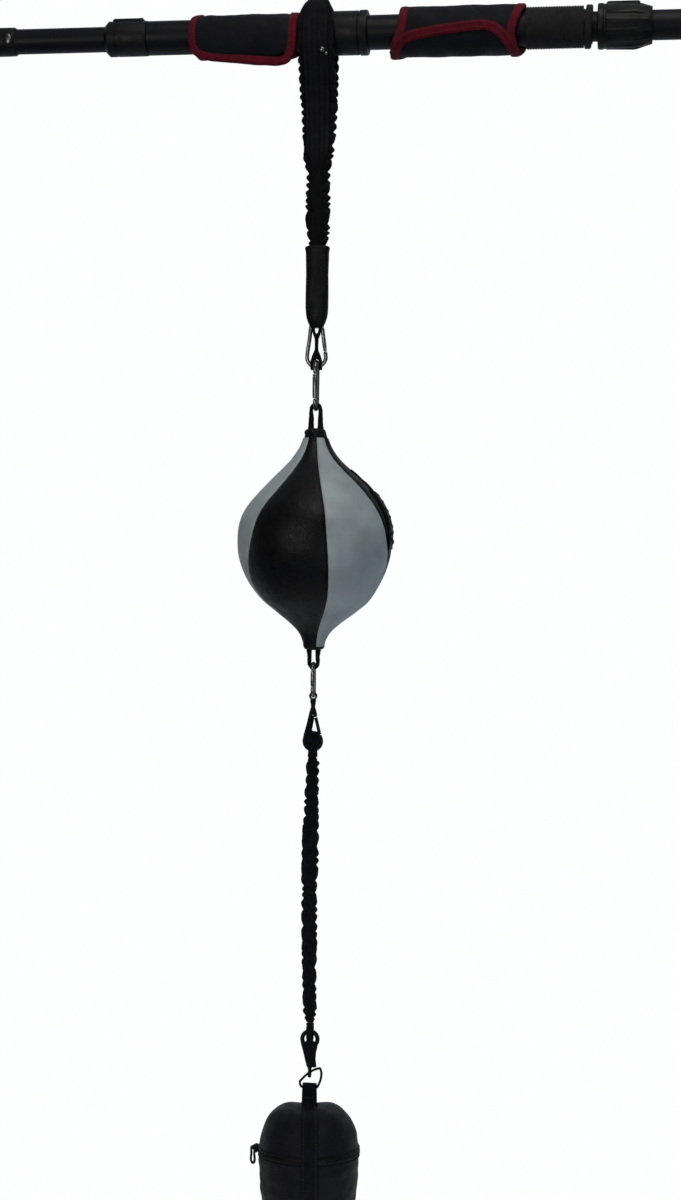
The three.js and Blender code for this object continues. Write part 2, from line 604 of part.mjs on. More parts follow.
// A leather loop in the XZ plane from a collar to the wire it hangs on. up is +1 or -1.
function ballLoop(wireZ, wireRadius, baseZ, up) {
  const rise = wireRadius + 1.1;
  const crown = wireZ + up * (rise + 1.8);
  const slot = 1.8;
  const along = (t) => crown + (baseZ - crown) * t;
  const outline = [[-8.8, baseZ], [-8.3, along(0.5)], [-6.8, along(0.18)], [-3.4, along(0.02)]];
  outline.push([3.4, along(0.02)], [6.8, along(0.18)], [8.3, along(0.5)], [8.8, baseZ]);
  const holeEnd = baseZ - up * -5;
  const hole = arcPoints(0, wireZ + up * (rise - 3.4), 3.4, up > 0 ? -30 : 30, up > 0 ? 210 : -210, 10);
  hole.push([-slot, holeEnd], [slot, holeEnd]);
  const plate = toSolid(plateXZ(outline, 9, [hole]));
  const side = [[-2.3, crown], [-2.3, wireZ - up * 1.5], [-4.5, wireZ - up * 7], [-4.5, baseZ]];
  side.push([4.5, baseZ], [4.5, wireZ - up * 7], [2.3, wireZ - up * 1.5], [2.3, crown]);
  const sideBlock = toSolid(plateXZ(side, 40).rotateZ(Math.PI / 2));
  return toGeometry(plate.intersect(sideBlock));
}

function addBallEnds() {
  const topZ = BALL_OUTLINE[0][1] + GAP + BALL_COLLAR.height;
  addPart("ball_top_collar", collarGeometry(topZ), BLACK_LEATHER);
  const wire2 = CARABINER_2.lowest + CARABINER_2.wire;
  const topLoop = ballLoop(wire2, CARABINER_2.wire, topZ + GAP, 1);
  addPart("ball_top_loop", topLoop, BLACK_LEATHER);
  addPart("ball_bottom_collar", collarGeometry(BALL_BOTTOM_COLLAR_Z), BLACK_LEATHER);
  const wire3 = CARABINER_3.lowest + CARABINER_3.length - CARABINER_3.wire;
  const lowZ = BALL_BOTTOM_COLLAR_Z - BALL_COLLAR.height - GAP;
  const bottomLoop = ballLoop(wire3, CARABINER_3.wire, lowZ, -1);
  addPart("ball_bottom_loop", bottomLoop, BLACK_LEATHER);
}

// ---- the lower elastic ----

// A folded end loop over a hook's wire. up is +1 when the loop passes above the wire.
function elasticLoop(wireZ, up) {
  const half = 4;
  const path = [[-4.4, -9], [-5.6, -3], [-5.6, 1.5], [-4, 5.2], [0, 7.2]];
  path.push([4, 5.2], [5.6, 1.5], [5.6, -3], [4.4, -9]);
  return bandYZ(path.map(([y, z]) => [y, wireZ + up * z, half]), 4.2);
}

function addLowerElastic() {
  const { top, bottom } = LOWER_ELASTIC;
  const wire4 = HOOK_4.lowest + HOOK_4.wire;
  const wire5 = HOOK_5.highest - HOOK_5.wire;
  addPart("lower_elastic_top_loop", elasticLoop(wire4, 1), BLACK_CLOTH);
  addPart("lower_elastic_bottom_loop", elasticLoop(wire5, -1), BLACK_CLOTH);
  const stations = [[top, 5.6, 5.6], [top - 8, 6.6, 6.6], [-880, 7.5, 7.5], [-930, 8.6, 8.6]];
  stations.push([-990, 8.6, 8.6], [-1050, 8.2, 8.2], [-1100, 7.4, 7.4], [bottom + 10, 6.6, 6.6]);
  stations.push([bottom, 5.4, 5.4]);
  addPart("lower_elastic", ovalStack(stations, 10), BLACK_CLOTH);
}

// ---- the weight bag ----

function addTriangleRing() {
  const corners = RING.corners.map(([x, z]) => new THREE.Vector2(x, z));
  const bend = 1.8;
  const stations = corners.flatMap((corner, i) => {
    const before = corners.at(i - 1).clone().sub(corner).normalize();
    const after = corners[(i + 1) % corners.length].clone().sub(corner).normalize();
    const from = corner.clone().addScaledVector(before, bend);
    const to = corner.clone().addScaledVector(after, bend);
    const middle = from.clone().add(to).multiplyScalar(0.5).lerp(corner, 0.4);
    const chord = to.clone().sub(from).normalize();
    return [[from, before.negate()], [middle, chord], [to, after]];
  });
  const section = ([centre, along]) =>
    Array.from({ length: WIRE_SIDES }, (_, i) => {
      const angle = (2 * Math.PI * i) / WIRE_SIDES;
      const side = RING.wire * Math.cos(angle);
      const x = centre.x - along.y * side;
      const z = centre.y + along.x * side;
      return new THREE.Vector3(x, RING.wire * Math.sin(angle), z);
    });
  addPart("triangle_ring", loft(stations.map(section), true), STEEL);
}

// One strap: up the back of the bag, over the ring's lower bar, and down the front.
function addBagWebbing() {
  const { barZ } = RING;
  const out = RING.wire + GAP + WEBBING.thickness / 2;
  const clear = WEBBING.thickness / 2 + 0.9;
  const half = [[out, barZ], [out, -1237], [6, -1241.3]];
  const lid = [...LID_OUTLINE].reverse().slice(1);
  half.push(...lid.map(([r, z]) => [r + clear, z + clear * 0.7]));
  const wall = [...BAG_OUTLINE].reverse().slice(0, -1);
  half.push(...wall.map(([r, z]) => [r + clear, z]));
  const over = arcPoints(0, barZ, out, 150, 30, 4);
  const front = half.map(([y, z]) => [-y, z]);
  const path = [...front.reverse(), ...over, ...half];
  const wide = path.map(([y, z]) => [y, z, WEBBING.halfWidth]);
  addPart("bag_webbing", bandYZ(wide, WEBBING.thickness), BLACK_CLOTH);
}

function addBag() {
  const sides = 24;
  const [, floorZ] = BAG_OUTLINE[0];
  const inner = BAG_OUTLINE.map(([r, z]) => [r - BAG_WALL, Math.max(z, floorZ + BAG_WALL)]);
  const body = [[0, floorZ], ...BAG_OUTLINE, ...[...inner].reverse(), [0, floorZ + BAG_WALL]];
  addPart("bag_body", turnedZ(body, sides), BLACK_CLOTH);

  const lidTop = -1243.5;
  const under = LID_OUTLINE.map(([r, z]) => [Math.max(r - BAG_WALL, 1), z - (r < 50 ? BAG_WALL : 0)]);
  const lid = [...LID_OUTLINE, [0, lidTop], [0, lidTop - BAG_WALL], ...under.reverse(), LID_OUTLINE[0]];
  addPart("bag_lid", turnedZ(lid, sides), BLACK_CLOTH);

  const zipLow = BAG_RIM_Z - ZIP_HEIGHT / 2;
  const zipHigh = BAG_RIM_Z + ZIP_HEIGHT / 2;
  const zip = [[57, zipLow], [58.8, zipLow], [59, BAG_RIM_Z], [58.8, zipHigh], [57, zipHigh]];
  addPart("bag_zipper", turnedZ([...zip, zip[0]], sides), BLACK_PLASTIC);

  const fill = inner.map(([r, z]) => [r - GAP * 2, z]);
  fill[0][1] += GAP;
  fill[1][1] += GAP;
  const below = fill.filter(([, z]) => z < SAND_TOP_Z - 2);
  const sand = [[0, below[0][1]], ...below, [53, SAND_TOP_Z], [0, SAND_TOP_Z]];
  addPart("bag_sand", turnedZ(sand, sides), SAND);
}

function addZipPull() {
  const x = -59.6;
  const slider = box(x - 3.6, x, -4.5, 4.5, BAG_RIM_Z - 5, BAG_RIM_Z + 5);
  addPart("zipper_slider", slider, BLACK_PAINT);
  const outline = [[-2, 0.9], [2, 0.9], [3.4, -17], [2, -19], [-2, -19], [-3.4, -17]];
  const hole = [[-1.2, -16.5], [-1.8, -12], [1.8, -12], [1.2, -16.5]];
  const puller = plateXZ(outline, 1.2, [hole]).rotateZ(Math.PI / 2);
  addPart("zipper_puller", puller.translate(x - 5, 0, BAG_RIM_Z + 1), BLACK_PAINT);
}

addLeftEnd();
addMainTubes();
addCoupling();
addRibbedSleeve();
addLockCollar();
addRightEnd();
GRIPS.forEach(addGrip);
addStrapLoop();
addUpperElastic();
addSleeve();
addTether();
addCarabiner("carabiner_1", CARABINER_1, false);
addCarabiner("carabiner_2", CARABINER_2, true);
addBallEnds();
addBallPanels();
addBladder();
addLaceFlap();
addCarabiner("carabiner_3", CARABINER_3, true);
addElasticHooks();
addLowerElastic();
addTriangleRing();
addBagWebbing();
addBag();
addZipPull();

object.position.x = FOOT_FACE_X;
export default object;
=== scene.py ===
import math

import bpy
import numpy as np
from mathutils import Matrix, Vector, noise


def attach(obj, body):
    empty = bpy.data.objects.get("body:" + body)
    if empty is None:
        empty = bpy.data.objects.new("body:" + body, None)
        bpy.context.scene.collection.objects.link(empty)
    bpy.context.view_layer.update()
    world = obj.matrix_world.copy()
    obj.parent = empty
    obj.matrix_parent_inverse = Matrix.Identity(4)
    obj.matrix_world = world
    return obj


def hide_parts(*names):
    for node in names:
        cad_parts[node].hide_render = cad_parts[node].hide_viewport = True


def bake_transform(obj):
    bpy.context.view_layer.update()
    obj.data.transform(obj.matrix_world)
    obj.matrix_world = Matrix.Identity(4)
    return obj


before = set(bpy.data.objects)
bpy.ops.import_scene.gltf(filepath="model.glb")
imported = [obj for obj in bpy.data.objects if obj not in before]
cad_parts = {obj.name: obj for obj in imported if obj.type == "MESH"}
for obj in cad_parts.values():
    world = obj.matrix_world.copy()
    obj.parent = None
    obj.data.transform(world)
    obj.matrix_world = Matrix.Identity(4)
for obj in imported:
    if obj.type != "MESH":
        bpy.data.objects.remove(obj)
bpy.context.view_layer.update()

# A hanging punch-ball set. A telescopic bar carries two bound grips and a gathered strap. A leather
# ball hangs from the strap between snap hooks, and a gathered elastic ties it to a sand bag.
#
# Sizes are millimetres from the strap's centre line: x along the bar, y away from the front, and
# z up from the bar's axis. to_frame() turns them into the row frame's metres.

MM = 0.001
STRAP_X = 0.470  # where the strap's centre line is in the row frame, in metres

# ---- camera ----
CAMERA_AZIMUTH = math.radians(8.0)
CAMERA_AIM = (0.501, 0.0, -0.659)
CAMERA_DISTANCE = 2.55
CAMERA_ROLL = math.radians(0.55)
HALF_VIEW = math.radians(15.3)  # half of the angle seen along the picture's long side
SENSOR = 36.0

# ---- the bar: where each turned piece starts and ends along x, and its radius ----
FOOT_FACE = 470.0
LEFT_SOCKET = (-446.3, -363.4, 16.8)
LEFT_TUBE = (-440.0, -70.0, 14.6)
LEFT_COLLAR = (-253.6, -203.4, 20.5)
MAIN_TUBE = (-203.0, 316.0, 19.8)
COUPLING = (-21.5, 57.7, 25.3)
RIBBED = (240.3, 316.0, 24.0)
LOCK = (322.0, 384.0, 26.0)
RIGHT_TUBE = (130.0, 440.0, 17.0)
RIGHT_SOCKET = (424.0, 446.3, 19.5)
BUTTON_X = -369.6
GRIP_BORE = MAIN_TUBE[2] + 0.15
OVER_TUBE = 20.2  # the bore of the pieces that sit on the main tube
CLOSED = 0.4  # the radius at which a turned piece's flat end is closed

# ---- the strap, its sleeve and its tether ----
STRAP_FOOT = -78.0
ELASTIC_TOP = -78.35
ELASTIC_FOOT = -247.0
SLEEVE_TOP = -247.4
SLEEVE_FOOT = -342.4

# ---- snap hooks: wire and gate radius, length, wide and narrow end radii, lowest point ----
# The gate fills the leg between two shares of its length, from the narrow end.
CARABINER_1 = dict(wire=2.4, gate=2.4, length=60, wide=11, narrow=6, lowest=-390, gate_from=0.12)
CARABINER_2 = dict(wire=2.6, gate=3.2, length=60, wide=8.5, narrow=7, lowest=-439.5, gate_from=0.12)
CARABINER_3 = dict(wire=2.2, gate=2.4, length=42, wide=6.5, narrow=5.5, lowest=-773, gate_from=0.12)
HOOK_4 = dict(wire=2.4, gate=2.0, length=53, wide=9.8, narrow=0.7, lowest=-836, gate_from=0.27)
HOOK_5 = dict(wire=2.6, gate=2.2, length=44, wide=8.9, narrow=1.8, lowest=-1203, gate_from=0.24)
GATE_TO = 0.86
GATE_GAP = 0.015

# ---- the ball: outer radius at each height ----
BALL_OUTLINE = [
    (15, -471), (18, -479), (27, -494), (40, -508), (54, -522), (67, -536), (78.5, -550),
    (86, -564), (89.6, -580), (90, -592), (89, -606), (85.5, -620), (80, -634), (73, -647),
    (63, -661), (46.5, -675), (28, -689), (20.5, -696), (15.6, -703.5), (13.4, -709), (12.9, -713.5),
]
LEATHER = 2.6
SEAM_GAP_DEG = 0.05
SEAMS_DEG = (-46.8, 17.4, 77.4, 136.5, 195.5, 254.5, 313.2)  # from the front, towards +x
# how far the seams are drawn round to the front (-) or the back (+) at each height, in degrees
SEAM_DRAW = [
    (-471, -24), (-513, -20), (-550, -9), (-592, 0), (-625, 14), (-658, 30), (-713, 36),
]
LACE_DEG = 84.4
# each neck's outline, out from the panels: (height, radius)
TOP_NECK = [(-473, 11.6), (-471, 12.9), (-467.5, 13), (-463.5, 11.8), (-460.6, 9.8), (-459.6, 6)]
BOTTOM_NECK = [(-708, 8), (-711, 10.4), (-714.2, 11.6), (-715.6, 10.8), (-716.8, 9), (-717.6, 6)]

# ---- the lower elastic ----
LOWER_TOP = -843.6
LOWER_FOOT = -1151.3

# ---- the weight bag ----
RING_CORNERS = [(-10, -1226.6), (9.6, -1226.6), (12.8, -1203.4), (-11.8, -1220)]
RING_WIRE = 1.4
BAG_OUTLINE = [
    (44, -1462), (50, -1460.5), (53, -1456), (53.8, -1448), (54.2, -1400), (55.2, -1353),
    (57.2, -1337), (58.2, -1320), (58.4, -1303.4),
]
LID_OUTLINE = [
    (58.2, -1296.6), (56.7, -1286), (53.2, -1272.4), (47, -1260.8), (39.5, -1253.6),
    (30, -1249.6), (16, -1248), (3, -1247.8),
]
RIM_Z = -1300.0
BAG_TURN_DEG = 9.5


# ==== geometry helpers ====


def to_frame(points):
    """Millimetres from the strap's centre line as metres in the row frame."""
    return np.asarray(points, float) * MM + (STRAP_X, 0, 0)


def smoothstep(x):
    x = np.clip(x, 0, 1)
    return x * x * (3 - 2 * x)


def ramp(value, start, end):
    """0 before start, 1 after end, and smooth between."""
    return smoothstep((np.asarray(value, float) - start) / (end - start))


def round_angles(sides):
    """Angles once round, evenly spaced."""
    return np.linspace(0, 2 * math.pi, sides, endpoint=False)


def lengths_along(path):
    """How far along the path each of its points lies."""
    return np.append(0, np.cumsum(np.linalg.norm(np.diff(path, axis=0), axis=1)))


def unit(vectors):
    return vectors / np.linalg.norm(vectors, axis=-1, keepdims=True)


def smooth_line(points, count, closed=False):
    """count points, spaced evenly along a smooth line through the given points."""
    given = np.asarray(points, float)
    if closed:
        given = np.vstack([given[-3:], given, given[:3]])
    along = lengths_along(given)
    slope = np.gradient(given, along, axis=0)
    low, high = (along[3], along[-3]) if closed else (0, along[-1])
    at = np.linspace(low, high, count, endpoint=not closed)
    i = np.clip(np.searchsorted(along, at, side="right") - 1, 0, len(along) - 2)
    span = (along[i + 1] - along[i])[:, None]
    t = (at - along[i])[:, None] / span
    return (
        (2 * t**3 - 3 * t**2 + 1) * given[i]
        + (t**3 - 2 * t**2 + t) * span * slope[i]
        + (3 * t**2 - 2 * t**3) * given[i + 1]
        + (t**3 - t**2) * span * slope[i + 1]
    )


def side_line(points, count):
    """A smooth line in the plane of the strap's middle, through points given as (y, z)."""
    return smooth_line([(0, y, z) for y, z in points], count)


def side_facing(path):
    """The direction square to such a line at each of its points, in the same plane."""
    return np.cross(np.gradient(path, axis=0), (1, 0, 0))


def reflected(points):
    """The points in reverse order, with their first measure on the other side of zero."""
    return [(-first, *rest) for first, *rest in reversed(points)]


def arc(middle, radius, degrees):
    """Points (across, up) on an arc whose middle is at that height."""
    return [(radius * math.cos(a), middle + radius * math.sin(a)) for a in np.radians(degrees)]


def rounded(power, sides):
    """A unit rounded rectangle: power 2 is a circle, and a higher one is squarer."""
    a = round_angles(sides)
    c, s = np.cos(a), np.sin(a)
    return np.sign(c) * abs(c) ** (2 / power), np.sign(s) * abs(s) ** (2 / power)


def swept(path, facing, half_width, half_height, power=2, sides=12, closed=False):
    """Rings of a band that follows path, with its flat side towards facing."""
    path = np.asarray(path, float)
    if closed:
        tangent = np.roll(path, -1, axis=0) - np.roll(path, 1, axis=0)
    else:
        tangent = np.gradient(path, axis=0)
    tangent = unit(tangent)
    side = unit(np.cross(tangent, np.broadcast_to(np.asarray(facing, float), path.shape)))
    out = np.cross(side, tangent)
    u, v = rounded(power, sides)
    wide = np.broadcast_to(half_width, len(path))[:, None] * u
    high = np.broadcast_to(half_height, len(path))[:, None] * v
    return path[:, None] + side[:, None] * wide[..., None] + out[:, None] * high[..., None]


def turned(outline, sides=72, axis="Z"):
    """Rings of a turned solid. The outline is (along, radius) for each ring."""
    outline = np.asarray(outline, float)
    a = round_angles(sides)
    along = np.repeat(outline[:, :1], sides, axis=1)
    across = outline[:, 1:] * np.cos(a)
    other = outline[:, 1:] * np.sin(a)
    order = (across, other, along) if axis == "Z" else (along, across, other)
    return np.stack(order, axis=-1)


def knob_rings(outline, sides):
    """Rings of a solid turned about y. The outline is (along, radius) for each ring."""
    return turned(outline, sides, "X")[..., [1, 0, 2]]


def upright(z, middle, half_wide, half_deep, power, sides):
    """Rings of an upright piece, with a rounded section at each height."""
    u, v = rounded(power, sides)
    x = np.reshape(middle, (-1, 1)) + u * np.reshape(half_wide, (-1, 1))
    y = v * np.reshape(half_deep, (-1, 1))
    return np.stack([x, y, np.repeat(np.reshape(z, (-1, 1)), sides, axis=1)], axis=-1)


def block(low, high, bevel):
    """Rings of a box with rounded upright edges and eased ends."""
    low, high = np.asarray(low, float), np.asarray(high, float)
    middle, half = (low + high) / 2, (high - low) / 2
    z = np.array([low[2], low[2] + bevel, high[2] - bevel, high[2]])
    shrink = np.array([bevel, 0, 0, bevel])
    rings = upright(z, middle[0], half[0] - shrink, half[1] - shrink, power=8, sides=24)
    return rings + (0, middle[1], 0)


def flipped_if_inside_out(points, faces):
    """True if the faces' normals point into the solid that they close."""
    volume = 0.0
    for face in faces:
        corner = points[face[0]]
        for b, c in zip(face[1:-1], face[2:]):
            volume += float(np.dot(corner, np.cross(points[b], points[c])))
    return volume < 0


def skin(name, grids, material, looped=False, sharp=38):
    """One mesh of closed solids, each given as a grid of rings. UVs are metres: u round each ring
    and v along the rings. A looped grid's last ring joins its first, and others get end caps."""
    points, faces, uvs = [], [], []
    for grid in grids:
        grid = np.asarray(grid, float)
        rows, cols = grid.shape[:2]
        index = np.arange(rows * cols).reshape(rows, cols)
        if looped:
            index = np.vstack([index, index[:1]])
        index = np.hstack([index, index[:, :1]])
        flat = grid.reshape(-1, 3)
        spot = flat[index]
        u = np.linalg.norm(np.diff(spot, axis=1), axis=2).mean(axis=0).cumsum() * MM
        v = np.linalg.norm(np.diff(spot, axis=0), axis=2).mean(axis=1).cumsum() * MM
        uv = np.stack(np.meshgrid(np.append(0, u), np.append(0, v)), axis=-1)
        corners = [(slice(0, -1), slice(0, -1)), (slice(0, -1), slice(1, None)),
                   (slice(1, None), slice(1, None)), (slice(1, None), slice(0, -1))]
        quads = np.stack([index[c] for c in corners], -1).reshape(-1, 4).tolist()
        quad_uv = np.stack([uv[c] for c in corners], 2).reshape(-1, 4, 2).tolist()
        if not looped:
            quads += [index[0, :-1][::-1].tolist(), index[-1, :-1].tolist()]
            quad_uv += [uv[0, :-1][::-1].tolist(), uv[-1, :-1].tolist()]
        if flipped_if_inside_out(flat, quads):
            quads = [face[::-1] for face in quads]
            quad_uv = [face[::-1] for face in quad_uv]
        start = sum(len(p) for p in points)
        points.append(flat)
        faces += [[start + i for i in face] for face in quads]
        uvs += [xy for face in quad_uv for xy in face]
    mesh = bpy.data.meshes.new(name)
    mesh.from_pydata(to_frame(np.vstack(points)).tolist(), [], faces)
    mesh.uv_layers.new(name="size").data.foreach_set("uv", np.array(uvs, np.float32).ravel())
    mesh.materials.append(material)
    mesh.polygons.foreach_set("use_smooth", np.ones(len(mesh.polygons), bool))
    mesh.set_sharp_from_angle(angle=math.radians(sharp))
    obj = bpy.data.objects.new(name, mesh)
    bpy.context.collection.objects.link(obj)
    return obj


def part(body, name, grids, material, nodes=(), slot=None, **how):
    """A piece on its body, in place of the CAD nodes that it stands for."""
    obj = skin(name, grids, material, **how)
    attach(obj, body)
    stand_in(nodes)
    return obj


def stand_in(nodes):
    if nodes:
        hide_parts(*nodes)


def stretch_between(obj):
    """Bakes a soft piece's placement into its mesh. The piece is left on no body."""
    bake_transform(obj)


def value_noise(points, size, seed=0.0):
    """Smooth noise from -1 to 1 at each point, with lumps of about that size."""
    shape = np.shape(points)[:-1]
    flat = np.asarray(points, float).reshape(-1, 3) / size + seed
    return np.array([noise.noise(Vector(p)) for p in flat]).reshape(shape)


def stitches(path, facing, length=2.6, gap=1.6, thread=0.35):
    """Rings of a row of short stitches laid along a path."""
    path = np.asarray(path, float)
    facing = np.broadcast_to(np.asarray(facing, float), path.shape)
    along = lengths_along(path)
    half = thread * np.array([0.35, 1, 1, 0.35])
    rows = []
    for start in np.arange(gap, along[-1] - length, length + gap):
        at = np.linspace(start, start + length, len(half))
        line, face = (
            np.stack([np.interp(at, along, source[:, k]) for k in range(3)], axis=1)
            for source in (path, facing)
        )
        rows.append(swept(line, face, half * 1.3, half, sides=6))
    return rows


# ==== camera and scene ====


def add_camera():
    """A camera in front of the object and a little to its right, slightly rolled."""
    back = Vector((math.sin(CAMERA_AZIMUTH), -math.cos(CAMERA_AZIMUTH), 0))
    camera = bpy.data.objects.new("camera", bpy.data.cameras.new("camera"))
    bpy.context.collection.objects.link(camera)
    turn = (-back).to_track_quat("-Z", "Y").to_matrix() @ Matrix.Rotation(CAMERA_ROLL, 3, "Z")
    place = Vector(CAMERA_AIM) + back * CAMERA_DISTANCE
    camera.matrix_world = Matrix.Translation(place) @ turn.to_4x4()
    camera.data.sensor_width = SENSOR
    camera.data.lens = SENSOR / 2 / math.tan(HALF_VIEW)
    bpy.context.scene.camera = camera


# ==== materials ====

NOISE_SPREAD = (0.3, 0.7)  # where nearly all of a noise texture's values lie


class Finish:
    """A surface finish that is built up from nodes round one Principled shader."""

    def __init__(self, name, colour, roughness, metallic=0.0, **sockets):
        self.material = bpy.data.materials.new(name)
        self.material.use_nodes = True
        self.nodes = self.material.node_tree.nodes
        self.links = self.material.node_tree.links
        self.shader = self.nodes["Principled BSDF"]
        self.colour = colour
        self.shader.inputs["Base Color"].default_value = (*colour, 1)
        self.shader.inputs["Roughness"].default_value = roughness
        self.shader.inputs["Metallic"].default_value = metallic
        for label, value in sockets.items():
            self.shader.inputs[label.replace("_", " ")].default_value = value
        self.bumps = []

    def node(self, kind, **settings):
        made = self.nodes.new(kind)
        for label, value in settings.items():
            setattr(made, label, value)
        return made

    def place(self, kind="Object"):
        """Object gives metres in the row frame, and UV gives metres round and along a piece."""
        return self.node("ShaderNodeTexCoord").outputs[kind]

    def noise(self, lumps, detail, stretch=(1, 1, 1)):
        """Noise with lumps of that size in millimetres."""
        mapping = self.node("ShaderNodeMapping")
        mapping.inputs["Scale"].default_value = stretch
        self.links.new(self.place(), mapping.inputs["Vector"])
        made = self.node("ShaderNodeTexNoise")
        made.inputs["Scale"].default_value = 1 / (lumps * MM)
        made.inputs["Detail"].default_value = detail
        self.links.new(mapping.outputs["Vector"], made.inputs["Vector"])
        return made.outputs["Fac"]

    def cells(self, size):
        """The pebbles of a leather grain, with smooth valleys between them."""
        made = self.node("ShaderNodeTexVoronoi", feature="SMOOTH_F1")
        made.inputs["Scale"].default_value = 1 / (size * MM)
        made.inputs["Smoothness"].default_value = 0.6
        self.links.new(self.place(), made.inputs["Vector"])
        return made.outputs["Distance"]

    def maths(self, operation, a, b=0.0):
        made = self.node("ShaderNodeMath", operation=operation)
        for socket, value in zip(made.inputs, (a, b)):
            if isinstance(value, (int, float)):
                socket.default_value = value
            else:
                self.links.new(value, socket)
        return made.outputs[0]

    def roughen(self, source, low, high):
        """Roughness that goes from low to high over the source's usual spread."""
        made = self.node("ShaderNodeMapRange")
        labels = ("From Min", "From Max", "To Min", "To Max")
        for label, value in zip(labels, (*NOISE_SPREAD, low, high)):
            made.inputs[label].default_value = value
        self.links.new(source, made.inputs["Value"])
        self.links.new(made.outputs["Result"], self.shader.inputs["Roughness"])

    def tint(self, source, dark, light):
        """Base colour that goes from dark to light times the finish's own colour."""
        ramp_node = self.node("ShaderNodeValToRGB")
        stops = ramp_node.color_ramp.elements
        for stop, gain, position in zip(stops, (dark, light), NOISE_SPREAD):
            stop.color = (*[min(1, c * gain) for c in self.colour], 1)
            stop.position = position
        self.links.new(source, ramp_node.inputs["Fac"])
        self.links.new(ramp_node.outputs["Color"], self.shader.inputs["Base Color"])

    def bump(self, height, depth):
        """Raises the surface by up to that depth in millimetres."""
        made = self.node("ShaderNodeBump")
        made.inputs["Distance"].default_value = depth * MM
        made.inputs["Strength"].default_value = 1.0
        self.links.new(height, made.inputs["Height"])
        if self.bumps:
            self.links.new(self.bumps[-1].outputs["Normal"], made.inputs["Normal"])
        self.bumps.append(made)
        self.links.new(made.outputs["Normal"], self.shader.inputs["Normal"])

    def waves(self, across, along):
        """Sine waves over the UVs, with those pitches in millimetres."""
        split = self.node("ShaderNodeSeparateXYZ")
        self.links.new(self.place("UV"), split.inputs[0])
        return [
            self.maths("SINE", self.maths("MULTIPLY", split.outputs[k], 2 * math.pi / (pitch * MM)))
            for k, pitch in enumerate((across, along))
        ]

    def weave(self, pitch, depth):
        """A plain weave: threads that pass over and under each other."""
        across, along = self.waves(pitch, pitch)
        self.bump(self.maths("MULTIPLY", across, along), depth)


def powder_coat(name, colour=(0.0035, 0.0042, 0.0066)):
    """Black powder-coated steel tube: orange peel, dull patches and faint rubbed marks."""
    f = Finish(name, colour, 0.46, Specular_IOR_Level=0.16, Coat_Weight=0.03, Coat_Roughness=0.3)
    f.tint(f.noise(70, detail=3), dark=0.75, light=1.5)
    f.roughen(f.noise(18, detail=5, stretch=(0.25, 1, 1)), low=0.38, high=0.58)
    f.bump(f.noise(1.1, detail=2), depth=0.05)
    f.bump(f.noise(3.5, detail=6, stretch=(0.05, 1, 1)), depth=0.03)
    return f.material


def moulded_plastic(name, colour=(0.005, 0.005, 0.0058), roughness=0.46):
    """Injection-moulded black plastic: fine spark texture and uneven sheen."""
    f = Finish(name, colour, roughness, Specular_IOR_Level=0.2)
    f.tint(f.noise(45, detail=3), dark=0.8, light=1.35)
    f.roughen(f.noise(9, detail=5), low=roughness - 0.1, high=roughness + 0.12)
    f.bump(f.noise(0.6, detail=3), depth=0.05)
    return f.material


def rubber(name, colour=(0.009, 0.009, 0.0098)):
    """Soft matt rubber with a dusty bloom."""
    f = Finish(name, colour, 0.8, Specular_IOR_Level=0.25, Sheen_Weight=0.04)
    f.tint(f.noise(20, detail=5), dark=0.75, light=1.7)
    f.roughen(f.noise(6, detail=4), low=0.68, high=0.9)
    f.bump(f.noise(0.9, detail=4), depth=0.08)
    return f.material


def plated_steel(name):
    """Nickel-plated wire: fine polishing marks, stains and small dents."""
    f = Finish(name, (0.235, 0.24, 0.24), 0.32, metallic=1.0)
    f.tint(f.noise(7, detail=6), dark=0.55, light=1.15)
    f.roughen(f.noise(3, detail=6), low=0.2, high=0.46)
    f.bump(f.noise(2.2, detail=5), depth=0.06)
    return f.material


def gathered_cloth(name, colour=(0.0030, 0.0034, 0.0052)):
    """The knitted cover of a gathered elastic: fine ribs, crossways threads and lint."""
    f = Finish(name, colour, 0.78, Specular_IOR_Level=0.12, Sheen_Weight=0.03, Sheen_Roughness=0.4)
    f.tint(f.noise(5, detail=6), dark=0.6, light=2.1)
    across, along = f.waves(across=1.3, along=0.9)
    f.bump(across, depth=0.12)
    f.bump(along, depth=0.06)
    f.bump(f.noise(2.5, detail=4), depth=0.35)
    return f.material


def flat_webbing(name, colour=(0.0036, 0.004, 0.0062)):
    """Flat polyester webbing: a herringbone of ribs with lighter rubbed threads."""
    f = Finish(name, colour, 0.6, Specular_IOR_Level=0.14, Sheen_Weight=0.025, Sheen_Roughness=0.35)
    f.tint(f.noise(9, detail=5), dark=0.7, light=1.7)
    split = f.node("ShaderNodeSeparateXYZ")
    f.links.new(f.place("UV"), split.inputs[0])
    half_herringbone = 2.4 * MM
    fold = f.maths("PINGPONG", split.outputs[0], half_herringbone)
    slant = f.maths("ADD", fold, split.outputs[1])
    rib_pitch = 1.1 * MM
    f.bump(f.maths("SINE", f.maths("MULTIPLY", slant, 2 * math.pi / rib_pitch)), depth=0.16)
    f.bump(f.noise(0.5, detail=3), depth=0.05)
    return f.material


def nylon(name, colour=(0.0038, 0.0042, 0.006)):
    """Coated pack nylon: a plain weave over slow creases, with a dull sheen."""
    f = Finish(name, colour, 0.52, Specular_IOR_Level=0.17, Sheen_Weight=0.02, Sheen_Roughness=0.4)
    f.tint(f.noise(38, detail=6), dark=0.65, light=1.75)
    f.roughen(f.noise(16, detail=5), low=0.42, high=0.64)
    f.weave(pitch=1.5, depth=0.1)
    f.bump(f.noise(11, detail=5), depth=0.7)
    return f.material


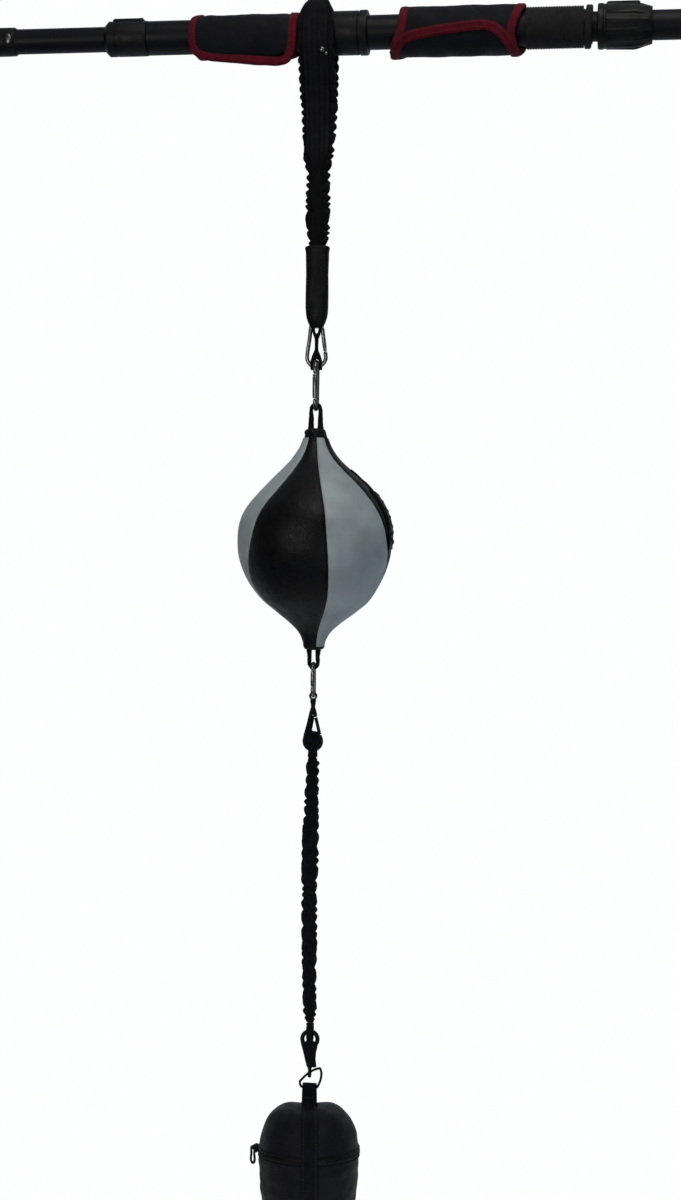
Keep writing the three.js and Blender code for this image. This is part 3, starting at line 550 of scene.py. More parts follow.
def foam_cloth(name, colour=(0.0040, 0.0046, 0.0076)):
    """Knit-faced foam on the grips: a fine jersey face with a soft nap."""
    f = Finish(name, colour, 0.62, Specular_IOR_Level=0.14, Sheen_Weight=0.025, Sheen_Roughness=0.4)
    f.tint(f.noise(24, detail=6), dark=0.65, light=1.7)
    f.roughen(f.noise(12, detail=4), low=0.5, high=0.74)
    f.weave(pitch=1.1, depth=0.07)
    f.bump(f.noise(7, detail=4), depth=0.4)
    return f.material


def crimson_tape(name, colour=(0.115, 0.0035, 0.012)):
    """Grosgrain binding tape: ribs across it, with a little wear and fading."""
    f = Finish(name, colour, 0.68, Specular_IOR_Level=0.15, Sheen_Weight=0.02, Sheen_Roughness=0.4)
    f.tint(f.noise(8, detail=6), dark=0.7, light=1.35)
    _, along = f.waves(across=60, along=0.95)
    f.bump(along, depth=0.14)
    f.bump(f.noise(1.6, detail=4), depth=0.12)
    return f.material


def thread(name, colour):
    """Twisted sewing thread."""
    f = Finish(name, colour, 0.6, Specular_IOR_Level=0.4)
    f.tint(f.noise(1.5, detail=3), dark=0.7, light=1.3)
    f.bump(f.noise(0.4, detail=2), depth=0.05)
    return f.material


def leather(name, colour, roughness, shine):
    """Grained leather: pebbles, pores, slow tone changes and lightly rubbed high spots."""
    coat = dict(Coat_Weight=0.1 * shine, Coat_Roughness=0.4)
    f = Finish(name, colour, roughness, Specular_IOR_Level=shine, **coat)
    f.tint(f.noise(42, detail=6), dark=0.82, light=1.2)
    f.roughen(f.noise(9, detail=5), low=roughness - 0.08, high=roughness + 0.12)
    f.bump(f.cells(1.9), depth=0.22)
    f.bump(f.noise(0.7, detail=4), depth=0.06)
    f.bump(f.noise(14, detail=4), depth=0.7)
    return f.material


def loose_sand(name):
    """Dry sand, with single grains and damp patches."""
    f = Finish(name, (0.45, 0.32, 0.15), 0.95)
    f.tint(f.noise(2.0, detail=8), dark=0.55, light=1.3)
    f.bump(f.noise(1.2, detail=6), depth=0.5)
    return f.material


def painted_floor(name):
    """A pale, very slightly uneven studio floor."""
    f = Finish(name, (0.9, 0.9, 0.9), 0.6, Emission_Strength=0.3)
    f.tint(f.noise(240, detail=4), dark=0.97, light=1.03)
    f.bump(f.noise(30, detail=4), depth=0.2)
    return f.material


PAINT = powder_coat("black_paint")
HOOK_PAINT = powder_coat("hook_paint", (0.0038, 0.0042, 0.0052))
PLASTIC = moulded_plastic("black_plastic")
LOCK_PLASTIC = moulded_plastic("lock_plastic", (0.004, 0.004, 0.0044), 0.42)
RUBBER = rubber("black_rubber")
STEEL = plated_steel("plated_steel")
GATHERED = gathered_cloth("gathered_cloth")
WEBBING = flat_webbing("flat_webbing")
NYLON = nylon("bag_nylon")
FOAM = foam_cloth("grip_foam_cloth")
CRIMSON = crimson_tape("crimson_tape")
CRIMSON_THREAD = thread("crimson_thread", (0.15, 0.006, 0.018))
BLACK_THREAD = thread("black_thread", (0.010, 0.011, 0.0135))
BLACK_LEATHER = leather("black_leather", (0.0028, 0.003, 0.0037), 0.44, 0.18)
GREY_LEATHER = leather("grey_leather", (0.355, 0.415, 0.435), 0.46, 0.3)
SLEEVE_LEATHER = leather("sleeve_leather", (0.0026, 0.0029, 0.004), 0.5, 0.16)
BLADDER = rubber("bladder_rubber", (0.20, 0.035, 0.028))
SAND = loose_sand("sand")
FLOOR = painted_floor("floor")


# ==== gathered cords and bands ====


def pleats(z, angle, pitch, seed):
    """How far a gathered surface stands out, from -1 to 1: pleats of uneven pitch."""
    spots = np.stack([np.cos(angle) * 0.7, np.sin(angle) * 0.7, z / (pitch * 1.7)], axis=-1)
    drift = value_noise(spots, 1.0, seed) * 0.9
    lean = value_noise(spots * (0.6, 0.6, 0.35), 1.0, seed + 7.3) * 1.2
    crest = np.abs(np.sin(math.pi * (z / pitch + drift + lean)))
    small = value_noise(spots * (3, 3, 4.5), 1.0, seed + 3.1)
    return 2 * crest**0.8 - 1 + small * 0.3


def gathered(stations, pitch, rise, seed, sides, power=2.4):
    """Rings of a gathered band that hangs straight down. stations are
    (z, middle x, half width, half depth), from the top down."""
    stations = np.asarray(stations, float)
    step, sewn, edge_gain = 0.9, 4, 0.8
    z = np.arange(stations[0, 0], stations[-1, 0], -step)
    middle, wide, deep = (np.interp(-z, -stations[:, 0], stations[:, k]) for k in (1, 2, 3))
    u, v = rounded(power, sides)
    angle = np.arctan2(v, u)
    zz, aa = np.meshgrid(z, angle, indexing="ij")
    fade = np.minimum(ramp(zz, z[0], z[0] - sewn), ramp(zz, z[-1], z[-1] + sewn))
    stand = pleats(zz, aa, pitch, seed) * rise * (1 + edge_gain * np.cos(aa) ** 2) * fade
    x = middle[:, None] + u * wide[:, None] + np.cos(aa) * stand
    y = v * deep[:, None] + np.sin(aa) * stand * 0.7
    return np.stack([x, y, zz + 0.25 * stand], axis=-1)


def add_lower_elastic():
    """The gathered elastic between the ball and the bag."""
    stations = [
        (LOWER_TOP, 0, 5.2, 5.2), (-849, 0, 6.4, 6.2), (-862, 0.3, 6.0, 6.0), (-880, -0.6, 6.8, 6.8),
        (-905, -1.0, 7.2, 7.2), (-930, -1.6, 8.4, 8.0), (-960, -1.8, 8.7, 8.2), (-985, -2.2, 8.4, 8.0),
        (-994, -2.2, 7.0, 7.0), (-1020, -2.3, 8.1, 7.8), (-1050, -2.0, 7.8, 7.6), (-1085, -1.6, 7.2, 7.0),
        (-1120, -1.1, 6.6, 6.4), (-1136, -0.6, 6.8, 6.6), (-1143, -0.3, 5.6, 5.4), (LOWER_FOOT, 0, 4.0, 4.0),
    ]
    rings = gathered(stations, pitch=12.5, rise=0.95, seed=2.0, sides=44)
    elastic = skin("lower_elastic_cord", [rings], GATHERED)
    stand_in(["lower_elastic"])
    stretch_between(elastic)


def add_upper_elastic():
    """The gathered band between the bar's strap and the sleeve."""
    stations = [
        (ELASTIC_TOP, 0.5, 20.3, 6.0), (-95, 1, 19.4, 6.4), (-118, 0.6, 18.2, 6.2), (-140, 0.2, 16.4, 6.0),
        (-152, -0.5, 14.6, 6.0), (-160, 0.4, 12.0, 5.8), (-172, 0, 12.0, 5.6), (-190, 0.2, 12.8, 5.5),
        (-215, 0, 12.8, 5.5), (-236, 0.8, 11.2, 5.4), (ELASTIC_FOOT, 0, 9.6, 5.0),
    ]
    rings = gathered(stations, pitch=11.5, rise=1.15, seed=11.0, sides=72, power=2.6)
    band = skin("upper_elastic_band", [rings], GATHERED)
    stand_in(["upper_elastic"])
    stretch_between(band)


# ==== the bar ====


def bar_part(body, name, outline, material, nodes, slot, sides=96, **how):
    """A piece that is turned about the bar's axis."""
    return part(body, name, [turned(outline, sides, "X")], material, nodes, slot, **how)


def mirrored(outline):
    return [(-x, r) for x, r in outline]


def add_feet():
    """Rubber pads with ring grooves, and steel cups, at both ends of the bar."""
    face = -FOOT_FACE
    groove = face + 1.2
    pad = [(groove, CLOSED)]
    for radius in (5, 11, 17):
        pad += [(groove, radius), (face, radius + 0.7), (face, radius + 3.6), (groove, radius + 4.3)]
    pad += [
        (groove, 22.2), (face, 22.9), (face, 24.8), (-469.2, 25.7), (-467.8, 26), (-467.2, 25.2),
        (-466.4, 25.2), (-465.8, 26), (-464.2, 25.7), (-463, 24.9), (-463, CLOSED),
    ]
    cup = [
        (-462.6, CLOSED), (-462.6, 23.4), (-461.9, 24.2), (-460, 24.5), (-457.5, 24.3), (-454, 22.6),
        (-450, 19.4), (-448, 18.2), (-446.6, 17.9), (-446.6, CLOSED),
    ]
    for side, turn in (("left", list), ("right", mirrored)):
        body = side + "_end"
        bar_part(body, side + "_foot_rubber", turn(pad), RUBBER, [side + "_foot_pad"], "black_rubber")
        bar_part(body, side + "_foot_shell", turn(cup), PAINT, [side + "_foot_cup"], "black_paint")


def add_tubes():
    """The two halves of the main tube, and the inner tube that slides in each."""
    start, end, radius = MAIN_TUBE
    middle_gap = 0.3
    for body, node, tube, wall, sides in (
        ("left_end", "left_inner_tube", LEFT_TUBE, 1.5, 96),
        ("bar", "main_tube_left", (start, -middle_gap, radius), 1.6, 120),
        ("bar", "main_tube_right", (middle_gap, end, radius), 2.4, 120),
        ("right_end", "right_inner_tube", RIGHT_TUBE, 1.6, 120),
    ):
        outline = tube_outline(*tube, wall)
        bar_part(body, node + "_skin", outline, PAINT, [node], "black_paint", sides, looped=True)


def tube_outline(start, end, radius, wall):
    """A tube's outline, out along its outside and back along its bore."""
    ease = 0.6
    return [
        (start + ease, radius), (end - ease, radius), (end, radius - ease), (end, radius - wall),
        (start, radius - wall), (start, radius - ease),
    ]


def add_left_socket():
    """The left socket, with a rimmed hole that the spring button stands in."""
    start, end, radius = LEFT_SOCKET
    bore = 15.0
    groove = 16.2
    shell = turned([
        (start, bore), (start, radius - 0.8), (start + 1, radius), (start + 5, radius),
        (start + 5.5, groove), (start + 8, groove), (start + 8.5, radius), (end - 10, radius),
        (end - 1.6, radius - 0.2), (end, radius - 1.3), (end, bore),
    ], 96, "X")
    piece = np.concatenate([shell, shell[:1]])
    part("left_end", "left_socket_shell", [piece], PLASTIC, ["left_end_socket"], "black_plastic")

    half_long, half_wide = 4.9, 8.2
    turn = round_angles(40)
    around = half_wide / radius * np.sin(turn)
    rim = radius * np.stack([0 * turn, -np.cos(around), np.sin(around)], axis=1)
    path = rim + np.outer(BUTTON_X + half_long * np.cos(turn), (1, 0, 0))
    lip = swept(path, rim, 0.9, 0.7, closed=True)
    part("left_end", "left_socket_rim", [lip], PLASTIC, looped=True)

    knob = [(-12.2, 3.6), (-16.6, 3.8), (-17.4, 3.6), (-18.0, 2.6), (-18.2, 1.2), (-18.2, 0.2)]
    oval = (1, 1, 1.6)
    rings = knob_rings(knob, 40) * oval + (BUTTON_X, 0, 0)
    part("button", "spring_button_cap", [rings], STEEL, ["spring_button"], "steel")


def add_left_collar():
    """The left tube's collar, with a sprung tab along its top."""
    start, end, radius = LEFT_COLLAR
    bore = 14.9
    groove = radius - 0.5
    rings = turned([
        (start, bore), (start, 16.4), (start + 4, radius), (start + 12, radius), (start + 12.6, groove),
        (start + 14, groove), (start + 14.6, radius), (end - 3, radius), (end - 0.4, radius - 0.5),
        (end, radius - 1.2), (end, bore),
    ], 96, "X")
    tab = block((start + 8, -7.5, 18), (end - 5, 7.5, 22.6), bevel=1.0)
    nub = block((end - 11, -4.5, 20), (end - 6, 4.5, 23.6), bevel=0.8)
    part("bar", "left_collar_shell", [rings, tab, nub], PLASTIC, ["left_collar"], "black_paint")


def add_coupling():
    """The coupling in the middle of the main tube, with a raised band at its right end."""
    start, end, radius = COUPLING
    groove = radius - 0.9
    band = 25.9
    outline = [
        (start, OVER_TUBE), (start, radius - 1.2), (start + 0.4, radius - 0.4), (start + 1.4, radius),
        (end - 11.4, radius), (end - 10.6, groove), (end - 9.8, groove), (end - 9.2, band),
        (end - 1.8, band), (end - 0.5, 25.4), (end, 24.4), (end, OVER_TUBE),
    ]
    bar_part("bar", "coupling_shell", outline, PLASTIC, ["centre_coupling"], "black_plastic", 120)


def add_ribbed_sleeve():
    """A rubber sleeve with fine rings, and a separate disc that sits a little askew."""
    start, end, radius = RIBBED
    rib_pitch = 3.0
    valley = radius - 0.75
    outline = [(start, OVER_TUBE), (start, radius - 1.2)]
    x = start + 1
    while x < end - 13:
        outline += [(x, valley), (x + 0.7, radius), (x + 1.7, radius), (x + 2.3, valley)]
        x += rib_pitch
    outline += [(end - 11, radius), (end - 10, radius - 0.5), (end - 9.6, OVER_TUBE)]
    disc, eased = 24.8, 23.8
    askew = turned([
        (end - 7.4, OVER_TUBE), (end - 7.4, eased), (end - 6.6, disc), (end - 1.2, disc), (end, eased),
        (end, OVER_TUBE),
    ], 96, "X")
    slope, nearer = 0.05, 0.6
    askew[..., 0] += askew[..., 2] * slope - nearer
    grids = [turned(outline, 96, "X"), askew]
    part("bar", "ribbed_sleeve_rings", grids, RUBBER, ["ribbed_sleeve"], "black_rubber")


def add_lock_collar():
    """The twist lock: moulded ridges along it, and a taper towards the inner tube."""
    start, end, radius = LOCK
    ridges, ridge_rise = 14, 0.062
    rings = turned([
        (start, 19.6), (start, 24.6), (start + 0.8, 25.7), (start + 3, radius), (start + 6, radius),
        (start + 7, 25.2), (start + 9, 25.2), (start + 10, 26), (start + 41, 26), (start + 44, 25.6),
        (start + 54, 23.2), (start + 58, 22.2), (start + 60, 21.6), (end, 20.8), (end, 17.4),
    ], 192, "X")
    turn = np.arctan2(rings[..., 2], rings[..., 1])
    ridge = ramp(np.cos(turn * ridges), -0.1, 0.6)
    x = rings[..., 0]
    held = ramp(x, start + 10, start + 13) * (1 - ramp(x, start + 46, start + 57))
    rings[..., 1:] *= (1 + held * (ridge - 0.5) * ridge_rise)[..., None]
    lug = block((start + 10, -6, 24), (end - 14, 6, 27.6), bevel=1.0)
    part("collar_ring", "lock_collar_shell", [rings, lug], LOCK_PLASTIC, ["lock_collar"], "black_plastic")


def add_right_socket():
    """The grooved socket at the right inner tube's end."""
    start, end, radius = RIGHT_SOCKET
    bore, groove = 17.3, 18.9
    outline = [
        (start, bore), (start, 18.2), (start + 1.4, radius), (end - 8, radius), (end - 7.5, groove),
        (end - 5.5, groove), (end - 5, radius), (end - 0.8, radius), (end, 18.8), (end, bore),
    ]
    name = "right_socket_shell"
    bar_part("right_end", name, outline, PLASTIC, ["right_end_socket"], "black_plastic")


# ==== the grips ====


def grip_surface(section_at, left_edge, right_edge, rows, cols=96):
    """A grid of points on a grip: section_at(t) gives the (y, z) outline at t from 0 to 1, and the
    edges are (z, x) tables of where each end runs as it goes down the front."""
    grid = np.zeros((rows, cols, 3))
    for k, t in enumerate(np.linspace(0, 1, rows)):
        line = smooth_line(section_at(t), cols, closed=True)
        front = ramp(line[:, 0], 24, 4)
        ends = []
        for table in (left_edge, right_edge):
            heights, places = np.array(sorted(table), float).T
            on_front = np.interp(line[:, 1], heights, places)
            ends.append(front * on_front + (1 - front) * places[-1])
        grid[k, :, 0] = ends[0] + (ends[1] - ends[0]) * t
        grid[k, :, 1:] = line
    return grid


def outward(ring):
    """The direction out of a section at each of its points, square to the bar."""
    flat = ring[:, 1:]
    along = np.roll(flat, -1, axis=0) - np.roll(flat, 1, axis=0)
    normal = np.stack([np.zeros(len(flat)), along[:, 1], -along[:, 0]], axis=1)
    normal = unit(normal)
    middle = flat.mean(axis=0)
    if ((flat - middle) * normal[:, 1:]).sum() < 0:
        normal = -normal
    return normal


def puffed(grid, rise, seed):
    """The grid swollen between its two ends, with soft uneven dents."""
    out = grid.copy()
    rows = len(grid)
    large, small = 0.9, 0.3
    for k, ring in enumerate(grid):
        from_end = min(k, rows - 1 - k) / rows
        swell = rise * ramp(from_end, 0, 0.12)
        dents = value_noise(ring, 26, seed) * large + value_noise(ring, 9, seed + 4) * small
        out[k] += outward(ring) * (swell + dents * ramp(from_end, 0, 0.06))[:, None]
    return out


def hollow(grid):
    """A grip as a sleeve: its outside, then back along the bore that rests on the tube."""
    bore = np.concatenate([grid[..., :1], unit(grid[..., 1:]) * GRIP_BORE], axis=-1)
    return np.concatenate([grid, bore[::-1]])


def end_tape(grid, row, half_width, half_height):
    """Rings of the tape that binds one end of a grip."""
    ring = grid[row]
    return swept(ring, outward(ring), half_width, half_height, power=3.2, sides=16, closed=True)


def left_section(t):
    """The left grip's outline (y, z), which hangs lowest towards its right."""
    places = [0, 0.06, 0.2, 0.4, 0.62, 0.8, 0.93, 1.0]
    bottom = np.interp(t, places, [26, 29.5, 31, 32.8, 35, 35.5, 33.5, 28.5])
    return [
        (0, 23), (-12, 19.9), (-20.8, 11.5), (-24, 0), (-23.4, -9), (-21, -18), (-17, -26),
        (-13, -bottom + 5), (-10.5, -bottom + 0.8), (-7.5, -bottom), (-4.4, -bottom + 1),
        (-3, -bottom + 6), (0.5, -25.5), (8, -22.4), (16, -17.6), (22, -9), (24, 0), (20.8, 11.5),
        (12, 19.9),
    ]


LEFT_HEM = [
    (-146, -19.2, -14), (-144, -18.6, -19), (-138, -18, -23.6), (-128, -17.4, -26.8), (-112, -16.8, -28.8),
    (-99, -16.4, -29.8), (-80, -16, -31.6), (-60, -15.8, -33.6), (-44, -15.8, -34.2), (-37, -16.4, -32.2),
    (-33.4, -17.4, -28), (-31, -18.6, -22),
]


def add_left_grip():
    """The left grip: a bound foam wrap whose free edge hangs below the bar."""
    left_edge = [(24, -139), (17, -145), (6, -147), (-14, -146.5), (-22, -142), (-30, -131), (-36, -120)]
    right_edge = [(23, -27.4), (-10, -28.6), (-22, -31), (-30, -36), (-38, -42)]
    grid = grip_surface(left_section, left_edge, right_edge, 72)
    soft = hollow(puffed(grid, rise=1.3, seed=1.0))
    pad = part("bar", "left_grip_cushion", [soft], FOAM, ["left_grip_pad"], "grip_foam", looped=True)
    tapes = [end_tape(grid, 0, 4.2, 2.0), end_tape(grid, -1, 5.2, 2.0)]
    binding("left_grip_end_tapes", tapes, CRIMSON, ["left_grip_binding"], looped=True)
    hem = smooth_line(LEFT_HEM, 90)
    face = (0, -1, 0.25)
    binding("left_grip_hem", [swept(hem, face, 5.4, 3.4, power=3, sides=20)], CRIMSON)
    on_hem = (0, -2.9, 3.0)
    rows = stitches(hem + on_hem, face)
    on_tape = 2.1
    for row, inset in ((0, 2.6), (-1, -3.6)):
        out = outward(grid[row])
        rows += stitches(grid[row] + out * on_tape + (inset, 0, 0), out)
    binding("left_grip_stitches", rows, CRIMSON_THREAD)


def binding(name, grids, material, nodes=(), **how):
    return part("bar", name, grids, material, nodes, "crimson_binding", **how)


def right_section(_):
    """The right grip's outline (y, z), the same all along it."""
    return [
        (0, 25.2), (-13, 22.2), (-22.5, 12.8), (-25.6, 0), (-24.2, -12), (-18.6, -22), (-9.5, -27.6),
        (0, -29.2), (9.5, -26.8), (18.5, -20), (24, -10), (25.4, 0), (22, 13), (13, 22.2),
    ]


FLAP_EDGE = [
    (89.5, -26.6), (94, -20), (100, -14.8), (109, -11.4), (124, -8.4), (148, -5.2), (173, -2.5),
    (187, -1.4), (197, -2), (205, -4.8), (212, -9.4), (218.5, -16), (224.5, -23), (229.5, -28.5),
]


def on_section(section, z):
    """The front point of a section at that height, and the direction out of it there."""
    ring = np.hstack([np.zeros((len(section), 1)), section])
    normal = outward(ring)
    front = np.flatnonzero(section[:, 0] < 2)
    i = front[np.abs(section[front, 1] - z).argmin()]
    return section[i], normal[i]


def add_right_grip():
    """The right grip: the same wrap turned so that its bound flap closes across the front."""
    left_edge = [(25, 101.5), (0, 99.2), (-12, 95.2), (-20, 91.6), (-29, 89)]
    right_edge = [(25, 235), (8, 228.5), (-6, 223.8), (-12, 223), (-20, 225), (-29, 227.5)]
    grid = grip_surface(right_section, left_edge, right_edge, 84)
    flap_x, flap_z = np.array(FLAP_EDGE).T
    edge_z = np.interp(grid[..., 0], flap_x, flap_z)
    ease = 0.8
    on_front = ramp(grid[..., 2], edge_z - ease, edge_z + ease)
    at_back = ramp(grid[..., 2], -29, -24)
    covered = np.where(grid[..., 1] < 0, on_front, at_back)
    soft = puffed(grid, rise=0.6, seed=5.0)
    flap_rise = 1.9
    for k in range(len(grid)):
        soft[k] += outward(grid[k]) * (covered[k] * flap_rise)[:, None]
    soft = hollow(soft)
    pad = part("bar", "right_grip_cushion", [soft], FOAM, ["right_grip_pad"], "grip_foam", looped=True)
    tapes = [end_tape(grid, row, 5.4, 2.9) for row in (0, -1)]
    binding("right_grip_end_tapes", tapes, CRIMSON, ["right_grip_binding"], looped=True)
    add_flap_tape()


def add_flap_tape():
    """The tape along the edge of the right grip's flap, with two rows of stitches."""
    section = smooth_line(right_section(0), 400, closed=True)
    path, facing = [], []
    tape_middle, stitch_height = 2.2, 1.8
    for x, z in smooth_line(FLAP_EDGE, 120):
        (y, height), normal = on_section(section, z)
        path.append(np.array((x, y, height)) + normal * tape_middle)
        facing.append(normal)
    path, facing = smooth_line(path, 120), np.array(facing)
    binding("right_grip_flap_tape", [swept(path, facing, 6.0, 1.7, power=3, sides=18)], CRIMSON)
    across = unit(np.cross(np.gradient(path, axis=0), facing))
    rows = []
    for inset in (-3.4, 2.6):
        line = path + across * inset + facing * stitch_height
        rows += stitches(line, facing, length=3.0, gap=1.2)
    binding("right_grip_stitches", rows, CRIMSON_THREAD)


# ==== the strap ====


def add_strap_loop():
    """The gathered strap over the coupling."""
    half = [(-5.0, STRAP_FOOT), (-9, -68), (-15.5, -50), (-22, -34), (-27.6, -18), (-29.4, -4), (-29.4, 8),
            (-26.5, 20), (-19, 30), (-9, 36.4), (0, 37.4)]
    path = side_line(half + reflected(half[:-1]), 240)
    height = path[:, 2]
    wide = np.interp(height, [-78, -60, -20, 10, 24, 38], [20.0, 20.4, 20.4, 20.4, 17, 10.5])
    wide *= 1 - 0.1 * ramp(path[:, 1], 8, 26) * (1 - ramp(height, 0, 30))
    thick = np.interp(height, [-78, -66, -40, 38], [2.4, 2.8, 2.6, 2.4])
    rings = swept(path, side_facing(path), wide, thick, power=5, sides=64)
    outwards = rings - path[:, None]
    turn = np.arctan2(height, path[:, 1])[:, None]
    spots = np.broadcast_to(lengths_along(path)[:, None], rings.shape[:2])
    gather = pleats(spots, turn + outwards[..., 0] / 14, pitch=12, seed=21.0)
    loose = 0.35 + 0.65 * ramp(-height, 16, 34)[:, None]
    edge = ramp(np.abs(outwards[..., 0]), 10, 19)
    rings += unit(outwards) * (gather * loose * (0.35 + 1.05 * edge))[..., None]
    strap = skin("strap_loop_cloth", [rings], GATHERED)
    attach(strap, "strap")
    stand_in(["strap_loop"])


def add_strap_webbing():
    """The flat webbing sewn down the strap's front, and its rivets."""
    over = [(-6.5, 41.4), (-19, 36.4), (-28.4, 26), (-33, 10), (-33.6, -6), (-32.4, -18), (-26.4, -36)]
    down = [(-20, -52), (-14, -68), (-10.6, -83), (-9, -100), (-8.4, -130), (-8.0, -150), (-7.8, -200),
            (-7.6, ELASTIC_FOOT)]
    line = side_line(over + down, 260)
    z = line[:, 2]
    heights = [ELASTIC_FOOT, -170, -156, -146, -138, -110, -60, 10, 26, 42]
    widths = [5.0, 5.4, 5.8, 8.2, 12.6, 13.4, 14.0, 14.0, 12.4, 8.4]
    band = swept(line, -side_facing(line), np.interp(z, heights, widths), 0.75, power=6, sides=40)
    ripple = value_noise(band * (0.4, 1, 1), 9, 3.0) * 0.35
    band[..., 1] -= ripple * ramp(-z, 20, 60)[:, None]
    sewn = skin("strap_front_webbing", [band], WEBBING)
    stand_in(["strap_webbing"])
    stretch_between(sewn)

    dome = np.array([(0, 3.2), (0.5, 3.2), (1.2, 2.7), (1.7, 1.7), (1.9, 0.2)])
    for name, size, sides, place, nodes, slot in (
        ("strap_rivet_cap", 1, 32, (7.6, -30.6, -25.5), ["strap_rivet"], "steel"),
        ("strap_small_rivet", 0.6, 24, (12.2, -28.8, -30), (), "steel"),
    ):
        rings = knob_rings(dome * (1, size), sides) * (1, -1, 1) + place
        part("strap", name, [rings], STEEL, nodes, slot)


def add_sleeve():
    """The leather sleeve under the elastic, with its tether inside."""
    stations = [
        (SLEEVE_TOP, 12.6, 8.0), (-248.4, 14.2, 8.8), (-250.4, 14.5, 9.2), (-252.2, 14.0, 8.8),
        (-256, 13.5, 8.8), (-280, 13.2, 9.0), (-305, 13.3, 9.4), (-318, 13.2, 9.8), (-326, 12.6, 9.8),
        (-331, 11.8, 9.4), (-336, 10.2, 8.6), (-340, 8.4, 7.2), (SLEEVE_FOOT, 6.8, 5.8),
    ]
    z, wide, deep = np.array(stations).T
    fine = np.concatenate([z[:4], np.linspace(-254, SLEEVE_FOOT, 60)])
    wide, deep = np.interp(-fine, -z, wide), np.interp(-fine, -z, deep)
    rings = upright(fine, 0, wide, deep, power=2.7, sides=72)
    dents = value_noise(rings * (1, 1, 0.45), 11, 6.0) * 0.9
    rings[..., :2] += np.sign(np.stack(rounded(2.7, 72), axis=-1)) * dents[..., None] * (0.3, 1)
    leather_tube = skin("sleeve_leather_cover", [rings], SLEEVE_LEATHER)
    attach(leather_tube, "strap_end")
    stand_in(["strap_sleeve"])

    front = (0, -1, 0)
    rows = []
    for side in (-1, 1):
        rows += stitches([(side * 9.6, -7.6, h) for h in np.linspace(-256, -326, 30)], front, thread=0.3)
    rows += stitches([(x, -8.9 + x**2 * 0.012, -253.8) for x in np.linspace(-10, 10, 12)], front)
    part("strap_end", "sleeve_stitches", rows, BLACK_THREAD, (), "black_leather")


def add_tether():
    """The thin webbing that comes out of the sleeve as a V and wraps the first hook's wire."""
    wire_z = CARABINER_1["lowest"] + CARABINER_1["wire"]
    out = CARABINER_1["wire"] + 1.1
    grids = []
    for side in (-1, 1):
        down = [(side * 4.6, 0, -336), (side * 4.1, 0, -342), (side * 3.0, 0, -348), (side * 1.1, 0, -354)]
        grids.append(swept(smooth_line(down, 14), (0, 1, 0), 1.7, 2.8, power=3, sides=14))
    # (out, height, half width), down to the wire
    half = [(out, -349, 2.0), (out, -358, 1.8), (out, -368, 1.8), (out, -375, 4.6), (out, -381, 6.4),
            (out, wire_z, 6.6)]
    under = [(y, z, 6.6) for y, z in arc(wire_z, out, range(-30, -151, -30))]
    strip = smooth_line([(0, *point) for point in half + under + reflected(half)], 90)
    middle, wide = strip[:, :3], strip[:, 3]
    slot_half = CARABINER_2["wire"] + 0.4
    inner = 0.1 + slot_half * ramp(-middle[:, 2], 377.6, 379.6)
    for side in (-1, 1):
        leg = np.column_stack([side * (inner + wide) / 2, middle[:, 1:]])
        half_width = np.maximum((wide - inner) / 2, 0.8)
        grids.append(swept(leg, side_facing(middle), half_width, 0.6, power=5, sides=20))
    part("strap_end", "tether_webbing", grids, WEBBING, ["tether_loop"], "black_cloth")


# ==== snap hooks ====


def pear(hook):
    """The legs and end arcs of a hook: its middle line, wide end down, lowest point at 0."""
    spread = hook["length"] - 2 * hook["wire"] - hook["wide"] - hook["narrow"]
    tilt = math.asin((hook["wide"] - hook["narrow"]) / spread)
    wide_z = hook["wire"] + hook["wide"]
    narrow_z = wide_z + spread
    top = np.array((hook["narrow"] * math.cos(tilt), narrow_z + hook["narrow"] * math.sin(tilt)))
    foot = np.array((hook["wide"] * math.cos(tilt), wide_z + hook["wide"] * math.sin(tilt)))
    return wide_z, narrow_z, tilt, lambda t: top + (foot - top) * t


def hook_line(hook):
    """The wire's middle line, from one end of the gate round both arcs to the other."""
    wide_z, narrow_z, tilt, leg = pear(hook)
    tilt = math.degrees(tilt)
    line = [leg(GATE_TO), leg(0.93)]
    line += arc(wide_z, hook["wide"], np.linspace(tilt, -180 - tilt, 24))
    line.append(leg(0.5) * (-1, 1))
    line += arc(narrow_z, hook["narrow"], np.linspace(180 - tilt, tilt, 16))
    line.append(leg(hook["gate_from"]))
    return smooth_line([(x, 0, z) for x, z in line], 120)


def placed(points, hook, wide_up, edge_on):
    """Moves a hook's points into the frame, turned over or edge on as it hangs."""
    points = np.asarray(points, float)
    if wide_up:
        points = points * (1, -1, -1) + (0, 0, hook["length"])
    if edge_on:
        points = points[..., [1, 0, 2]] * (1, -1, 1)
    return points + (0, 0, hook["lowest"])


def add_hook(name, hook, body, material, slot, gate_body, wide_up=False, edge_on=False, extras=()):
    """A hook's wire with any extra solids, and its gate: a pin with a thin nose."""
    line = hook_line(hook)
    thin = hook["wire"] * np.interp(np.linspace(0, 1, len(line)), [0, 0.02, 0.98, 1], [0.75, 1, 1, 0.75])
    wire = placed(swept(line, (0, 1, 0), thin, thin, sides=18), hook, wide_up, edge_on)
    part(body, name + "_wire", [wire, *extras], material, [name], slot)
    _, _, _, leg = pear(hook)
    start, end = leg(hook["gate_from"] + GATE_GAP), leg(GATE_TO - GATE_GAP)
    along = np.array([0, 0.02, 0.06, 0.5, 0.86, 0.9, 0.94, 1])
    girth = hook["gate"] * np.array([0.7, 0.95, 1, 1, 1, 0.8, 1, 0.8])
    pin = np.insert(start + np.outer(along, end - start), 1, 0, axis=1)
    gate = placed(swept(pin, (0, 1, 0), girth, girth, sides=18), hook, wide_up, edge_on)
    part(gate_body, name + "_gate_bar", [gate], material, [name + "_gate"], slot)


